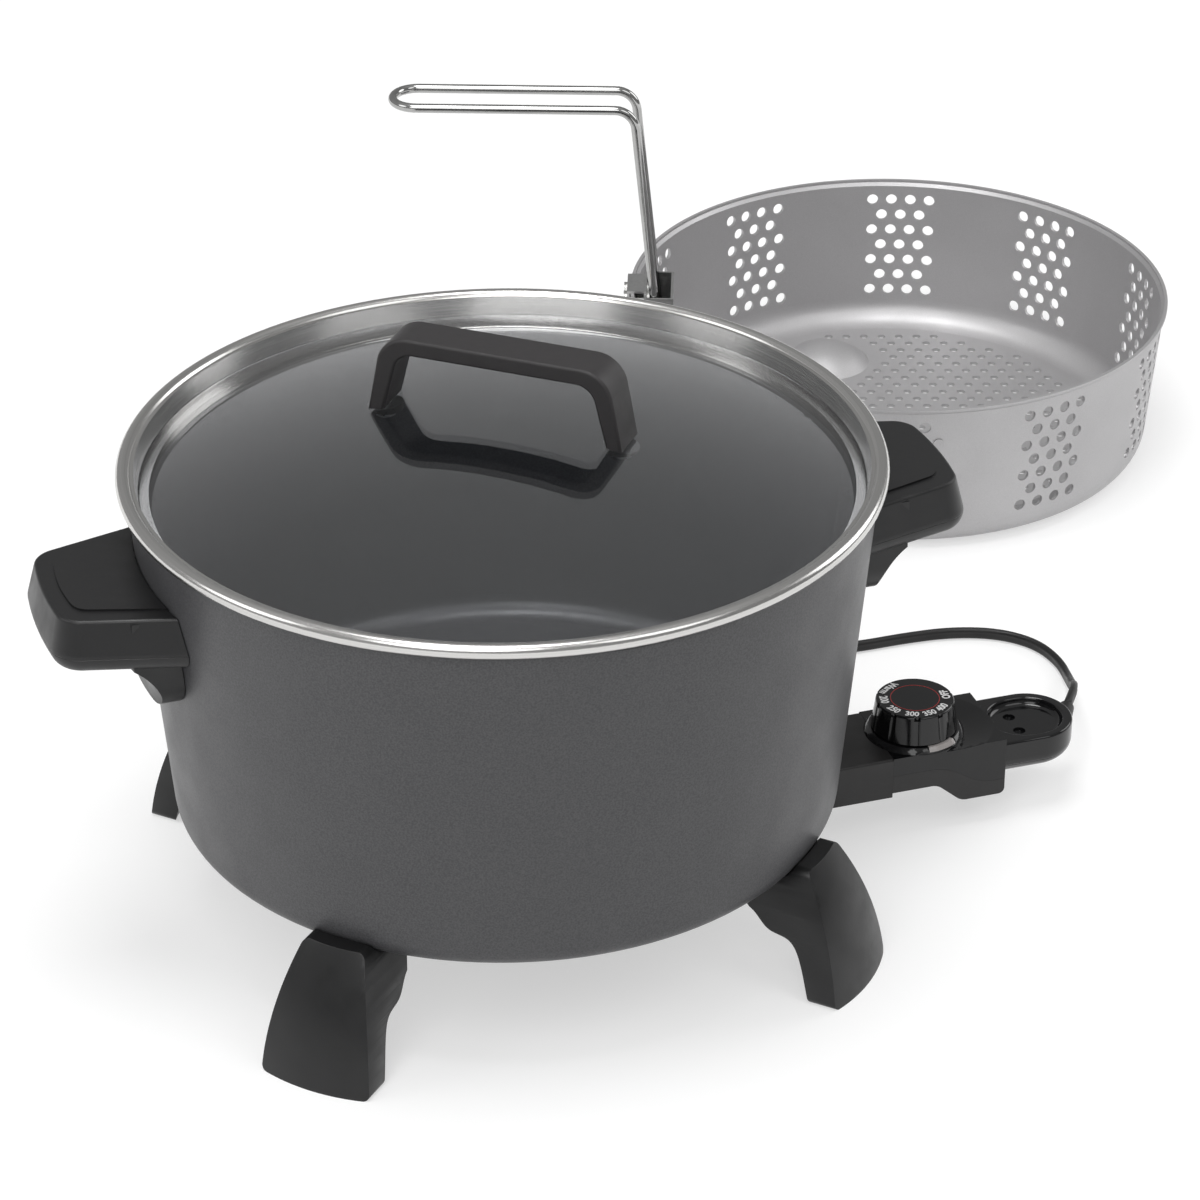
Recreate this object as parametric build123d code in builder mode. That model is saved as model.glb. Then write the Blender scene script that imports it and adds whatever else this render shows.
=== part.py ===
from build123d import *
import os
from math import atan2, cos, degrees, hypot, pi, radians, sin, sqrt, tan

# Electric multicooker: a coated aluminium pot on four legs, a glass lid, a plug-in heat control
# with its mains lead, and a perforated basket with a wire handle that stands beside it.
# Millimetres. The origin is on the pot's axis at the counter, +Z is up and +X points along the
# side handles towards the heat control.

# Shared clearances
overrun = 20.0
seat_gap = 0.05
loose_gap = 0.3
run_gap = 0.08

# Pot
pot_rim_radius = 146.5
pot_foot_radius = 133.4
pot_underside_z = 48.0
pot_height = 145.0
pot_wall = 3.0
pot_base = 5.0
pot_corner = 9.0
pot_rim_round = 1.0

# Lid: rolled steel rim, domed glass, arch handle
lid_overhang = 3.5
lid_roll_radius = 3.0
lid_sheet = 0.9
lid_band_drop = 9.2
lid_wall_gap = 1.0
lid_wall_lean = 1.6
lid_web_drop = 1.7
lid_web = 1.5
lid_flange = 4.8
lid_rest_gap = 0.2
glass_thickness = 4.0
glass_rise = 27.0
glass_edge_gap = 0.2
lid_handle_turn = -39.0
lid_handle_foot_outer = 54.2
lid_handle_foot_wall = 6.0
lid_handle_top_half = 46.5
lid_handle_rise = 28.5
lid_handle_bar = 6.8
lid_handle_width = 18.5
lid_handle_corner = 13.0
lid_handle_inner_corner = 8.0
lid_handle_edge = 1.2
lid_screw_radius = 1.6
lid_screw_setback = 5.35
lid_screw_depth = 6.0
lid_screw_head_radius = 4.0
lid_screw_head_height = 2.4
lid_washer_radius = 7.0
lid_washer_height = 2.0
lid_screw_hole_gap = 1.0

# Side handles
handle_top_z = 171.0
handle_ledge = 22.0
handle_tip_x = 183.2
handle_shoulder_x = 180.8
handle_wall_half = 37.3
handle_shoulder_half = 27.6
handle_corner = 11.0
handle_draft = 5.0
handle_under_round = 7.0
handle_top_round = 1.6
handle_panel_inset = 6.5
handle_panel_rise = 0.8
handle_pad_bottom_z = 127.0
handle_pad_half = 35.5
handle_pad_corner = 15.0
handle_pad_foot = 8.0
handle_pad_middle = 11.0
handle_pad_root = 18.0
handle_pot_gap = 0.4
stud_radius = 3.5
stud_length = 3.2
stud_side = 18.0
stud_z = 140.5
stud_head_wall = 1.2
handle_screw_radius = 2.0
handle_screw_head_radius = 4.0
handle_screw_head_height = 1.8

# Legs
leg_names = ("back_right", "back_left", "front_left", "front_right")
leg_first_turn = 45.0
leg_toe = 161.5
leg_face_radius = 77.0
leg_height = 54.0
leg_top_out = 141.0
leg_belly_out = 155.0
leg_sole = 11.0
leg_floor_half = 23.8
leg_middle_half = 20.3
leg_top_half = 13.0
leg_boss_in = 104.0
leg_edge = 2.0
leg_toe_round = 2.5
leg_pot_gap = 0.6
leg_stud_radius = 4.5
leg_stud_height = 5.0
leg_stud_out = 113.0
leg_screw_radius = 2.0
leg_screw_head_radius = 4.2
leg_screw_head_height = 2.5
leg_screw_wall = 2.4

# Heating element, probe well and terminals under the pot
terminal_z = 30.5
terminal_side = 11.0
element_radius = 3.5
element_ring = 88.0
element_end_x = 110.0
element_drop_run = 13.0
element_bend = 7.0
element_sides = 8
element_first_bend = 40.0
element_ring_bend = 70.0
well_start_x = 50.0
well_end_x = 109.5
well_half = 7.0
well_under = 6.5
probe_radius = 3.5
probe_gap = 0.4
pin_radius = 2.4
pin_tip_x = 142.0
insulator_radius = 4.6
insulator_length = 6.0
guard_back_x = 105.0
guard_front_x = 126.0
guard_half = 23.5
guard_sheet = 1.0
guard_drop = 27.0
guard_screw_setback = 7.0
guard_screw_side = 15.0
guard_screw_radius = 1.8
guard_screw_head_radius = 3.4
guard_screw_head_height = 2.0
guard_screw_bite = 3.4

# Heat control
nose_front_x = 128.0
nose_back_x = 161.0
nose_bottom_z = 21.0
nose_round = 2.0
nose_edge = 1.2
tongue_half = 8.0
tongue_half_height = 5.0
deck_z = 39.5
control_half = 20.0
control_wall = 2.2
waist_bottom_z = 23.0
waist_end_x = 181.0
belly_start_x = 192.0
belly_bottom_z = 13.5
belly_bend = 7.0
belly_end_round = 2.6
ridge_x = 211.5
deck_wall = 4.2
bowl_x = 186.5
bowl_radius = 25.0
bowl_depth = 2.6
parting_nose_z = 31.0
parting_belly_z = 20.5
parting_bend_start_x = 178.0
parting_bend_end_x = 207.0
hood_end_x = 248.5
hood_half = 18.5
hood_top_z = 36.5
hood_bottom_z = 20.0
hood_round = 8.0
hood_rim_round = 1.2
dish_x = 228.2
dish_radius = 14.4
dish_stretch = 2.6
dish_depth = 3.2
dish_round = 2.4
dimple_x = 223.5
dimple_side = 5.6
dimple_radius = 2.6
dimple_depth = 1.6
collar_radius = 21.0
collar_top_radius = 19.0
collar_height = 2.2
socket_radius = 4.0
socket_start_x = 133.0
socket_end_x = 156.0
socket_mouth_gap = 0.8
probe_tip_x = 62.0
probe_tip_share = 0.8
thermostat_start_x = 171.0
thermostat_end_x = 188.0
thermostat_half = 7.5
thermostat_height = 9.5
control_boss_radius = 3.6
control_boss_x = 169.0
control_boss_side = 12.6
control_rear_boss_x = 203.0
control_screw_radius = 1.5
control_screw_head_radius = 2.8
control_screw_head_height = 1.6
control_screw_top_z = 35.0
lens_turn = -73.0
lens_sweep = 40.0
lens_edge_turn = 0.4
lens_depth = 1.6

# Dial
dial_x = 177.7
dial_lift = 0.6
dial_height = 12.4
dial_skirt_radius = 18.0
dial_top_radius = 16.3
dial_top_round = 1.0
dial_wall = 2.4
dial_roof = 3.4
dial_hub_radius = 5.5
dial_notches = 10
dial_notch_radius = 1.6
dial_notch_depth = 0.6
dial_notch_drop = 1.6
shaft_radius = 2.5
shaft_foot_z = 32.0
shaft_bite = 8.0

# Mains lead
cord_radius = 2.7
boot_turn = 54.0
boot_exit_x = 248.0
boot_exit_y = 5.2
boot_z = 28.6
boot_root_radius = 4.2
boot_tip_radius = 3.3
boot_inside = 12.0
boot_outside = 9.0
cord_bend_share = 0.45
cord_lead_out = 13.8
cord_lead_in = 25.0
coil_x = 20.0
coil_y = 205.0
coil_outer = 33.0
coil_pitch = 7.0
coil_low_z = 3.7
coil_layer = 5.9
coil_turns_in = 1.0
coil_turns_climb = 0.5
coil_turns_out = 1.0
coil_quarter = 0.25
coil_tail = 15.0
coil_samples = 600
coil_near_turns = 0.5
tie_thickness = 0.7
tie_width = 6.0
plug_boot_length = 14.0
plug_boot_radius = 5.0
plug_length = 24.0
plug_half_width = 11.0
plug_floor_gap = 0.2
plug_round = 4.0
plug_edge = 2.0
blade_length = 17.0
blade_height = 6.3
blade_thickness = 1.5
blade_spacing = 12.7
blade_root = 6.0

# The lead's free run, from the boot on the heat control to the coil behind the pot
cord_points = [
    (268.5, 38.0, 21.8),
    (275.0, 53.0, 12.0),
    (281.0, 70.0, 5.0),
    (284.5, 88.0, 3.0),
    (281.0, 106.0, 3.0),
    (268.0, 120.0, 3.0),
    (248.0, 127.5, 3.0),
    (226.0, 129.0, 3.0),
    (204.0, 128.5, 3.0),
    (180.0, 131.5, 3.0),
    (155.0, 140.5, 3.0),
    (130.0, 152.5, 3.0),
    (104.0, 163.5, 3.0),
    (78.0, 170.0, 3.2),
]

# Basket
basket_x = 299.2
basket_y = 326.3
basket_neck_radius = 128.7
basket_flare = 1.4
basket_taper = 6.5
basket_height = 77.0
basket_lip = 1.2
basket_step = 1.5
basket_wall = 1.6
basket_corner = 14.0
basket_ring = 2.0
basket_floor_slope = 3.0
basket_floor_lift = 3.4
hole_radius = 2.8
hole_pitch = 9.6
hole_row = 8.1
hole_middle_drop = 34.3
hole_groups = 10
hole_group_turn = 31.5
hole_row_counts = (4, 3, 4, 3, 4, 3, 4)
floor_hole_radius = 2.0
floor_hole_pitch = 9.0
floor_hole_row = 7.8
floor_hole_margin = 4.2
floor_hole_turn = -18.0
hump_turn = 96.5
hump_edge_gap = 8.5
hump_radius = 22.0
hump_height = 9.0
hump_margin = 5.0
pip_turn = -103.0
pip_drop = 18.5
pip_radius = 2.4
pip_rise = 0.8

# Basket handle and its bracket
bracket_turn = 160.0
bracket_sheet = 1.2
bracket_depth = 13.0
bracket_height = 33.0
bracket_wall_gap = 0.2
bracket_hook_half = 10.0
bracket_hook_drop = 19.0
rivet_radius = 2.2
rivet_head_radius = 4.2
rivet_head_height = 1.6
rivet_side = 5.0
rivet_drop = 5.5
wire_radius = 2.2
wire_spacing = 24.0
wire_lean = 6.0
wire_set_in = 8.2
wire_rise = 96.5
wire_reach = 115.0
wire_bend = 10.0

os.makedirs("parts", exist_ok=True)

# Places worked out from the driving sizes
pot_rim_z = pot_underside_z + pot_height
pot_taper = (pot_rim_radius - pot_foot_radius) / pot_height
pot_floor_z = pot_underside_z + pot_base
guard_screw_spots = [(guard_front_x - guard_screw_setback, side * guard_screw_side) for side in (-1, 1)]


def save(part, name):
    """Label a finished piece and write it out under its own name."""
    part.label = name
    export_step(part, f"parts/{name}.step")


def pot_radius(height):
    """Outside radius of the pot at a height above the counter."""
    return pot_foot_radius + (height - pot_underside_z) * pot_taper


def upright(turn, origin=(0, 0, 0)):
    """Upright plane whose x axis is +X turned about Z, and whose y axis is +Z."""
    angle = radians(turn)
    return Plane(origin=origin, x_dir=(cos(angle), sin(angle), 0), z_dir=(sin(angle), -cos(angle), 0))


def facing(turn, distance=0.0):
    """Upright plane square to a direction, at a distance along it, with its y axis up."""
    angle = radians(turn)
    out = Vector(cos(angle), sin(angle), 0)
    return Plane(origin=out * distance, x_dir=(-sin(angle), cos(angle), 0), z_dir=out)


def level(turn, height):
    """Level plane at a height, with its x axis turned about Z."""
    angle = radians(turn)
    return Plane(origin=(0, 0, height), x_dir=(cos(angle), sin(angle), 0), z_dir=(0, 0, 1))


def pot_body(grow, bottom_z, top_z, corner):
    """Round tapered body that follows the pot's wall, grown outwards by a set amount."""
    with BuildPart() as body:
        with BuildSketch(Plane.XZ):
            with BuildLine():
                Polyline(
                    (0, bottom_z),
                    (pot_radius(bottom_z) + grow, bottom_z),
                    (pot_radius(top_z) + grow, top_z),
                    (0, top_z),
                    close=True,
                )
            make_face()
        revolve(axis=Axis.Z)
        fillet(body.edges().filter_by(GeomType.CIRCLE).sort_by(Axis.Z)[0], corner)
    return body.part


# Pot: one drawn aluminium shell with a thick base, drilled for the terminal guard's screws
pot_outside = pot_body(0, pot_underside_z, pot_rim_z, pot_corner)
pot_inside = pot_body(-pot_wall, pot_floor_z, pot_rim_z + overrun, pot_corner)
with BuildPart() as pot:
    add(pot_outside)
    fillet(pot.faces().sort_by(Axis.Z)[-1].edges(), pot_rim_round)
    add(pot_inside, mode=Mode.SUBTRACT)
    with BuildSketch(Plane.XY.offset(pot_underside_z)):
        with Locations(*guard_screw_spots):
            Circle(guard_screw_radius + seat_gap)
    extrude(amount=guard_screw_bite + seat_gap, mode=Mode.SUBTRACT)
save(pot.part, "pot")

# Lid glass: a dome of even thickness set low in the lid's band, drilled for the handle's screws
lid_seat_z = pot_rim_z + lid_rest_gap
roll_top_z = lid_seat_z + 2 * lid_roll_radius
glass_edge_z = roll_top_z - lid_band_drop
band_radius = pot_radius(glass_edge_z) - pot_wall - lid_wall_gap - lid_sheet
glass_edge_radius = band_radius - glass_edge_gap
dome_radius = (glass_edge_radius**2 + glass_rise**2) / (2 * glass_rise)
dome_under_radius = dome_radius - glass_thickness
dome_z = glass_edge_z - sqrt(dome_radius**2 - glass_edge_radius**2)
lid_handle_plane = upright(lid_handle_turn)
lid_screw_out = lid_handle_foot_outer - lid_screw_setback


def dome_height(radius, distance):
    """Height of a dome of the given radius, at a distance from the lid's axis."""
    return dome_z + sqrt(radius**2 - distance**2)


lid_screw_spots = [lid_handle_plane.from_local_coords((side * lid_screw_out, 0, 0)) for side in (-1, 1)]
lid_screw_top_z = dome_height(dome_radius, lid_screw_out) + lid_screw_depth
glass_middle = glass_edge_radius / 2
with BuildPart() as lid_glass:
    with BuildSketch(Plane.XZ):
        with BuildLine():
            ThreePointArc(
                (0, dome_height(dome_radius, 0)),
                (glass_middle, dome_height(dome_radius, glass_middle)),
                (glass_edge_radius, dome_height(dome_radius, glass_edge_radius)),
            )
            Line(
                (glass_edge_radius, dome_height(dome_radius, glass_edge_radius)),
                (glass_edge_radius, dome_height(dome_under_radius, glass_edge_radius)),
            )
            ThreePointArc(
                (glass_edge_radius, dome_height(dome_under_radius, glass_edge_radius)),
                (glass_middle, dome_height(dome_under_radius, glass_middle)),
                (0, dome_height(dome_under_radius, 0)),
            )
            Line((0, dome_height(dome_under_radius, 0)), (0, dome_height(dome_radius, 0)))
        make_face()
    revolve(axis=Axis.Z)
    with BuildSketch(Plane.XY.offset(pot_rim_z)):
        with Locations(*lid_screw_spots):
            Circle(lid_screw_radius + lid_screw_hole_gap)
    extrude(amount=glass_rise + overrun, mode=Mode.SUBTRACT)
save(lid_glass.part, "lid_glass")

# Lid rim: a steel band with a rolled edge, a wall that drops into the pot's mouth and a flange below
roll_centre_radius = pot_radius(pot_rim_z) + lid_overhang - lid_roll_radius
roll_centre_z = lid_seat_z + lid_roll_radius
web_top_z = roll_top_z - lid_web_drop
flange_top_z = dome_height(dome_under_radius, glass_edge_radius) - seat_gap
with BuildPart() as lid_rim:
    with BuildSketch(Plane.XZ):
        with Locations((roll_centre_radius, roll_centre_z)):
            Circle(lid_roll_radius)
        with BuildLine():
            Polyline(
                (band_radius - lid_flange, flange_top_z - lid_sheet),
                (band_radius + lid_sheet, flange_top_z - lid_sheet),
                (band_radius + lid_sheet, glass_edge_z),
                (band_radius + lid_sheet + lid_wall_lean, web_top_z - lid_web),
                (roll_centre_radius, web_top_z - lid_web),
                (roll_centre_radius, web_top_z),
                (band_radius + lid_wall_lean, web_top_z),
                (band_radius, glass_edge_z),
                (band_radius, flange_top_z),
                (band_radius - lid_flange, flange_top_z),
                close=True,
            )
        make_face()
    revolve(axis=Axis.Z)
save(lid_rim.part, "lid_rim")

# Lid handle: a moulded arch on the crown of the glass
lid_handle_top_z = dome_height(dome_radius, 0) + lid_handle_rise
lid_handle_root_z = dome_height(dome_radius, lid_handle_foot_outer) - lid_handle_edge - lid_handle_bar
lid_handle_inner_half = lid_handle_top_half - lid_handle_bar
with BuildPart() as lid_handle:
    with BuildSketch(lid_handle_plane):
        with BuildLine():
            outer_arch = FilletPolyline(
                (-lid_handle_foot_outer, lid_handle_root_z),
                (-lid_handle_top_half, lid_handle_top_z),
                (lid_handle_top_half, lid_handle_top_z),
                (lid_handle_foot_outer, lid_handle_root_z),
                radius=lid_handle_corner,
            )
            inner_foot = lid_handle_foot_outer - lid_handle_foot_wall
            inner_arch = FilletPolyline(
                (-inner_foot, lid_handle_root_z),
                (-lid_handle_inner_half, lid_handle_top_z - lid_handle_bar),
                (lid_handle_inner_half, lid_handle_top_z - lid_handle_bar),
                (inner_foot, lid_handle_root_z),
                radius=lid_handle_inner_corner,
            )
            Line(outer_arch @ 0, inner_arch @ 0)
            Line(outer_arch @ 1, inner_arch @ 1)
        make_face()
    extrude(amount=lid_handle_width / 2, both=True)
    fillet(lid_handle.faces().filter_by(lid_handle_plane).edges(), lid_handle_edge)
    with Locations((0, 0, dome_z)):
        Sphere(dome_radius + seat_gap, mode=Mode.SUBTRACT)
    with BuildSketch(Plane.XY.offset(pot_rim_z)):
        with Locations(*lid_screw_spots):
            Circle(lid_screw_radius + seat_gap)
    extrude(amount=lid_screw_top_z - pot_rim_z, mode=Mode.SUBTRACT)
save(lid_handle.part, "lid_handle")

# Lid washers: soft rings under the glass, shaped to the dome
lid_washer_foot_z = dome_height(dome_under_radius, lid_screw_out) - lid_washer_height
with BuildPart() as lid_washers:
    with BuildSketch(Plane.XY.offset(lid_washer_foot_z)):
        with Locations(*lid_screw_spots):
            Circle(lid_washer_radius)
            Circle(lid_screw_radius + seat_gap, mode=Mode.SUBTRACT)
    extrude(amount=2 * lid_washer_height)
    with Locations((0, 0, dome_z)):
        Sphere(dome_under_radius - seat_gap, mode=Mode.INTERSECT)
save(lid_washers.part, "lid_washers")

# Lid screws: pan heads under the washers, shanks up through the glass into the handle's feet
lid_shank_length = lid_screw_top_z - seat_gap - lid_washer_foot_z
with BuildPart() as lid_screws:
    with BuildSketch(Plane.XY.offset(lid_washer_foot_z - seat_gap)):
        with Locations(*lid_screw_spots):
            Circle(lid_screw_head_radius)
    extrude(amount=-lid_screw_head_height)
    with BuildSketch(Plane.XY.offset(lid_washer_foot_z - seat_gap)):
        with Locations(*lid_screw_spots):
            Circle(lid_screw_radius)
    extrude(amount=lid_shank_length)
save(lid_screws.part, "lid_screws")

# Side handles: moulded ledges with a pad that hugs the pot's wall
handle_keepout = pot_body(handle_pot_gap, pot_underside_z, pot_rim_z, pot_corner)
handle_ledge_z = handle_top_z - handle_ledge
handle_root_x = pot_radius(handle_pad_bottom_z) - overrun
handle_slope = (handle_wall_half - handle_shoulder_half) / (handle_shoulder_x - pot_radius(handle_top_z))
handle_root_half = handle_shoulder_half + handle_slope * (handle_shoulder_x - handle_root_x)
stud_root_x = sqrt(pot_radius(stud_z) ** 2 - stud_side**2)
stud_end_x = stud_root_x + stud_length
stud_head_x = stud_end_x + stud_head_wall
handle_turns = {"handle_right": 0.0, "handle_left": 180.0}


def ledge_outline(inset):
    """Plan of a side handle's ledge, drawn in from its edge by an inset."""
    tip = handle_tip_x - inset
    shoulder_x = handle_shoulder_x - inset
    shoulder = handle_shoulder_half - inset
    root = handle_root_half - inset
    with BuildSketch() as outline:
        with BuildLine():
            Polyline(
                (shoulder_x, -shoulder),
                (handle_root_x, -root),
                (handle_root_x, root),
                (shoulder_x, shoulder),
            )
            ThreePointArc((shoulder_x, shoulder), (tip, 0), (shoulder_x, -shoulder))
        make_face()
        fillet(outline.vertices().group_by(Axis.X)[-1], handle_corner - inset / 2)
    return outline.sketch


# Round body that the pads are trimmed to, flaring out as it rises to the ledge's underside
with BuildPart() as handle_pad_reach:
    with BuildSketch(Plane.XZ):
        with BuildLine():
            ThreePointArc(
                (pot_radius(handle_pad_bottom_z) + handle_pad_foot, handle_pad_bottom_z),
                (pot_radius(stud_z) + handle_pad_middle, stud_z),
                (pot_radius(handle_ledge_z) + handle_pad_root, handle_ledge_z),
            )
            Polyline(
                (pot_radius(handle_ledge_z) + handle_pad_root, handle_ledge_z),
                (pot_radius(handle_ledge_z) + handle_pad_root, handle_top_z),
                (0, handle_top_z),
                (0, handle_pad_bottom_z),
                (pot_radius(handle_pad_bottom_z) + handle_pad_foot, handle_pad_bottom_z),
            )
        make_face()
    revolve(axis=Axis.Z)


def handle_pad(turn):
    """Mounting pad of a side handle: a rounded plate bent round the pot's wall."""
    with BuildPart() as pad:
        with BuildSketch(facing(turn, handle_root_x)) as face:
            with BuildLine():
                Polyline(
                    (-handle_pad_half, handle_top_z - handle_top_round),
                    (-handle_pad_half, handle_pad_bottom_z),
                    (handle_pad_half, handle_pad_bottom_z),
                    (handle_pad_half, handle_top_z - handle_top_round),
                    close=True,
                )
            make_face()
            fillet(face.vertices().group_by(Axis.Y)[0], handle_pad_corner)
        extrude(amount=handle_tip_x - handle_root_x)
        add(handle_pad_reach.part, mode=Mode.INTERSECT)
    return pad.part


for handle_name, handle_turn in handle_turns.items():
    pad = handle_pad(handle_turn)
    with BuildPart() as handle:
        with BuildSketch(level(handle_turn, handle_ledge_z)):
            add(ledge_outline(-handle_draft))
        with BuildSketch(level(handle_turn, handle_top_z)):
            add(ledge_outline(0))
        loft(ruled=True)
        fillet(handle.faces().sort_by(Axis.Z)[0].edges(), handle_under_round)
        fillet(handle.faces().sort_by(Axis.Z)[-1].edges(), handle_top_round)
        with BuildSketch(level(handle_turn, handle_top_z)):
            add(ledge_outline(handle_panel_inset))
        extrude(amount=handle_panel_rise)
        add(pad)
        add(handle_keepout, mode=Mode.SUBTRACT)
        for side in (-stud_side, stud_side):
            with BuildSketch(facing(handle_turn, handle_root_x)):
                with Locations((side, stud_z)):
                    Circle(stud_radius + seat_gap)
            extrude(amount=stud_end_x + seat_gap - handle_root_x, mode=Mode.SUBTRACT)
            with BuildSketch(facing(handle_turn, handle_root_x)):
                with Locations((side, stud_z)):
                    Circle(handle_screw_radius + seat_gap)
            extrude(amount=handle_tip_x - handle_root_x, mode=Mode.SUBTRACT)
            with BuildSketch(facing(handle_turn, stud_head_x)):
                with Locations((side, stud_z)):
                    Circle(handle_screw_head_radius + loose_gap)
            extrude(amount=handle_pad_root, mode=Mode.SUBTRACT)
    save(handle.part, handle_name)

# Handle studs: threaded steel studs welded to the pot's wall
with BuildPart() as handle_studs:
    for handle_turn in handle_turns.values():
        with BuildSketch(facing(handle_turn, handle_root_x)):
            with Locations((-stud_side, stud_z), (stud_side, stud_z)):
                Circle(stud_radius)
        extrude(amount=stud_end_x - handle_root_x)
    add(pot_outside, mode=Mode.SUBTRACT)
    for handle_turn in handle_turns.values():
        with BuildSketch(facing(handle_turn, stud_root_x + stud_head_wall)):
            with Locations((-stud_side, stud_z), (stud_side, stud_z)):
                Circle(handle_screw_radius + seat_gap)
        extrude(amount=stud_length, mode=Mode.SUBTRACT)
save(handle_studs.part, "handle_studs")

# Handle screws: pan heads sunk in the pads, shanks in the studs
with BuildPart() as handle_screws:
    for handle_turn in handle_turns.values():
        with BuildSketch(facing(handle_turn, stud_head_x + seat_gap)):
            with Locations((-stud_side, stud_z), (stud_side, stud_z)):
                Circle(handle_screw_head_radius)
        extrude(amount=handle_screw_head_height)
        with BuildSketch(facing(handle_turn, stud_head_x + seat_gap)):
            with Locations((-stud_side, stud_z), (stud_side, stud_z)):
                Circle(handle_screw_radius)
        extrude(amount=-(stud_head_x - stud_root_x - stud_head_wall))
save(handle_screws.part, "handle_screws")

# Legs: splayed feet, bowed outwards, with a lobed boss that runs in under the pot
leg_keepout = pot_body(leg_pot_gap, pot_underside_z, pot_rim_z, pot_corner)
leg_centre = leg_toe - leg_face_radius
leg_sweep = 2 * degrees(atan2(leg_floor_half + overrun, leg_face_radius))
leg_shin = leg_toe - leg_sole
leg_knee_share = (0.37, 0.53, 0.57, 0.69, 0.80)
leg_knee_in_share = (0.12, 0.25, 0.41, 0.56, 0.83)
leg_screw_seat_z = pot_underside_z - leg_stud_height - leg_screw_wall
leg_boss_run = leg_shin - leg_boss_in
leg_knees = [
    (leg_shin - leg_boss_run * run, pot_underside_z * rise)
    for run, rise in zip(leg_knee_in_share, leg_knee_share)
]
leg_turns = {name: leg_first_turn + 90 * index for index, name in enumerate(leg_names)}


def leg_axis(turn):
    """Upright line about which a leg's bowed face is swept."""
    angle = radians(turn)
    return Axis((leg_centre * cos(angle), leg_centre * sin(angle), 0), (0, 0, 1))


for leg_name, leg_turn in leg_turns.items():
    start = leg_turn - leg_sweep / 2
    hub = Vector(leg_centre * cos(radians(leg_turn)), leg_centre * sin(radians(leg_turn)), 0)
    with BuildPart() as leg:
        with BuildSketch(upright(start, hub)):
            with BuildLine():
                ThreePointArc(
                    (leg_toe - leg_centre, 0),
                    (leg_belly_out - leg_centre, leg_height / 2),
                    (leg_top_out - leg_centre, leg_height),
                )
                Polyline(
                    (leg_top_out - leg_centre, leg_height),
                    (leg_boss_in - leg_centre, leg_height),
                    (leg_boss_in - leg_centre, pot_underside_z - leg_pot_gap),
                )
                Spline(
                    (leg_boss_in - leg_centre, pot_underside_z - leg_pot_gap),
                    *[(out - leg_centre, height) for out, height in reversed(leg_knees)],
                    (leg_shin - leg_centre, 0),
                )
                Line((leg_shin - leg_centre, 0), (leg_toe - leg_centre, 0))
            make_face()
        revolve(axis=leg_axis(leg_turn), revolution_arc=leg_sweep)
        with BuildSketch(facing(leg_turn)) as front:
            with BuildLine():
                Line((-leg_floor_half, 0), (leg_floor_half, 0))
                ThreePointArc(
                    (leg_floor_half, 0), (leg_middle_half, leg_height / 2), (leg_top_half, leg_height)
                )
                Line((leg_top_half, leg_height), (-leg_top_half, leg_height))
                ThreePointArc(
                    (-leg_top_half, leg_height), (-leg_middle_half, leg_height / 2), (-leg_floor_half, 0)
                )
            make_face()
            fillet(front.vertices().group_by(Axis.Y)[-1], 2 * leg_edge)
            fillet(front.vertices().group_by(Axis.Y)[0], leg_toe_round)
        extrude(amount=leg_toe + overrun, mode=Mode.INTERSECT)
        add(leg_keepout, mode=Mode.SUBTRACT)
        with BuildSketch(level(leg_turn, pot_underside_z)):
            with Locations((leg_stud_out, 0)):
                Circle(leg_stud_radius + seat_gap)
        extrude(amount=-leg_stud_height - seat_gap, mode=Mode.SUBTRACT)
        with BuildSketch(level(leg_turn, pot_underside_z)):
            with Locations((leg_stud_out, 0)):
                Circle(leg_screw_radius + seat_gap)
        extrude(amount=-pot_underside_z, mode=Mode.SUBTRACT)
        with BuildSketch(level(leg_turn, leg_screw_seat_z)):
            with Locations((leg_stud_out, 0)):
                Circle(leg_screw_head_radius + loose_gap)
        extrude(amount=-pot_underside_z, mode=Mode.SUBTRACT)
    save(leg.part, f"leg_{leg_name}")

# Leg studs: threaded bosses welded under the pot's base
with BuildPart() as leg_studs:
    for leg_turn in leg_turns.values():
        with BuildSketch(level(leg_turn, pot_underside_z)):
            with Locations((leg_stud_out, 0)):
                Circle(leg_stud_radius)
                Circle(leg_screw_radius + seat_gap, mode=Mode.SUBTRACT)
        extrude(amount=-leg_stud_height)
save(leg_studs.part, "leg_studs")

# Leg screws: driven up through the bosses into the studs
with BuildPart() as leg_screws:
    for leg_turn in leg_turns.values():
        with BuildSketch(level(leg_turn, leg_screw_seat_z - seat_gap)):
            with Locations((leg_stud_out, 0)):
                Circle(leg_screw_head_radius)
        extrude(amount=-leg_screw_head_height)
        with BuildSketch(level(leg_turn, leg_screw_seat_z - seat_gap)):
            with Locations((leg_stud_out, 0)):
                Circle(leg_screw_radius)
        extrude(amount=leg_screw_wall + leg_stud_height)
save(leg_screws.part, "leg_screws")

# Heating element: a sheathed rod bent into a ring under the base, its ends turned out and down
element_z = pot_underside_z - element_radius - seat_gap
element_side_half = element_ring * tan(pi / element_sides)
element_corner_radius = hypot(element_ring, element_side_half)
element_corners = [
    (
        element_corner_radius * cos((2 * index + 1) * pi / element_sides),
        element_corner_radius * sin((2 * index + 1) * pi / element_sides),
        element_z,
    )
    for index in range(element_sides)
]
element_points = [
    (element_end_x, terminal_side, terminal_z),
    (element_end_x - element_drop_run, terminal_side, terminal_z),
    (element_ring, terminal_side, element_z),
    *element_corners,
    (element_ring, -terminal_side, element_z),
    (element_end_x - element_drop_run, -terminal_side, terminal_z),
    (element_end_x, -terminal_side, terminal_z),
]
element_end_bends = [element_bend, element_bend, element_first_bend]
element_bends = [
    *element_end_bends,
    *[element_ring_bend] * (element_sides - 2),
    *reversed(element_end_bends),
]
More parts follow.
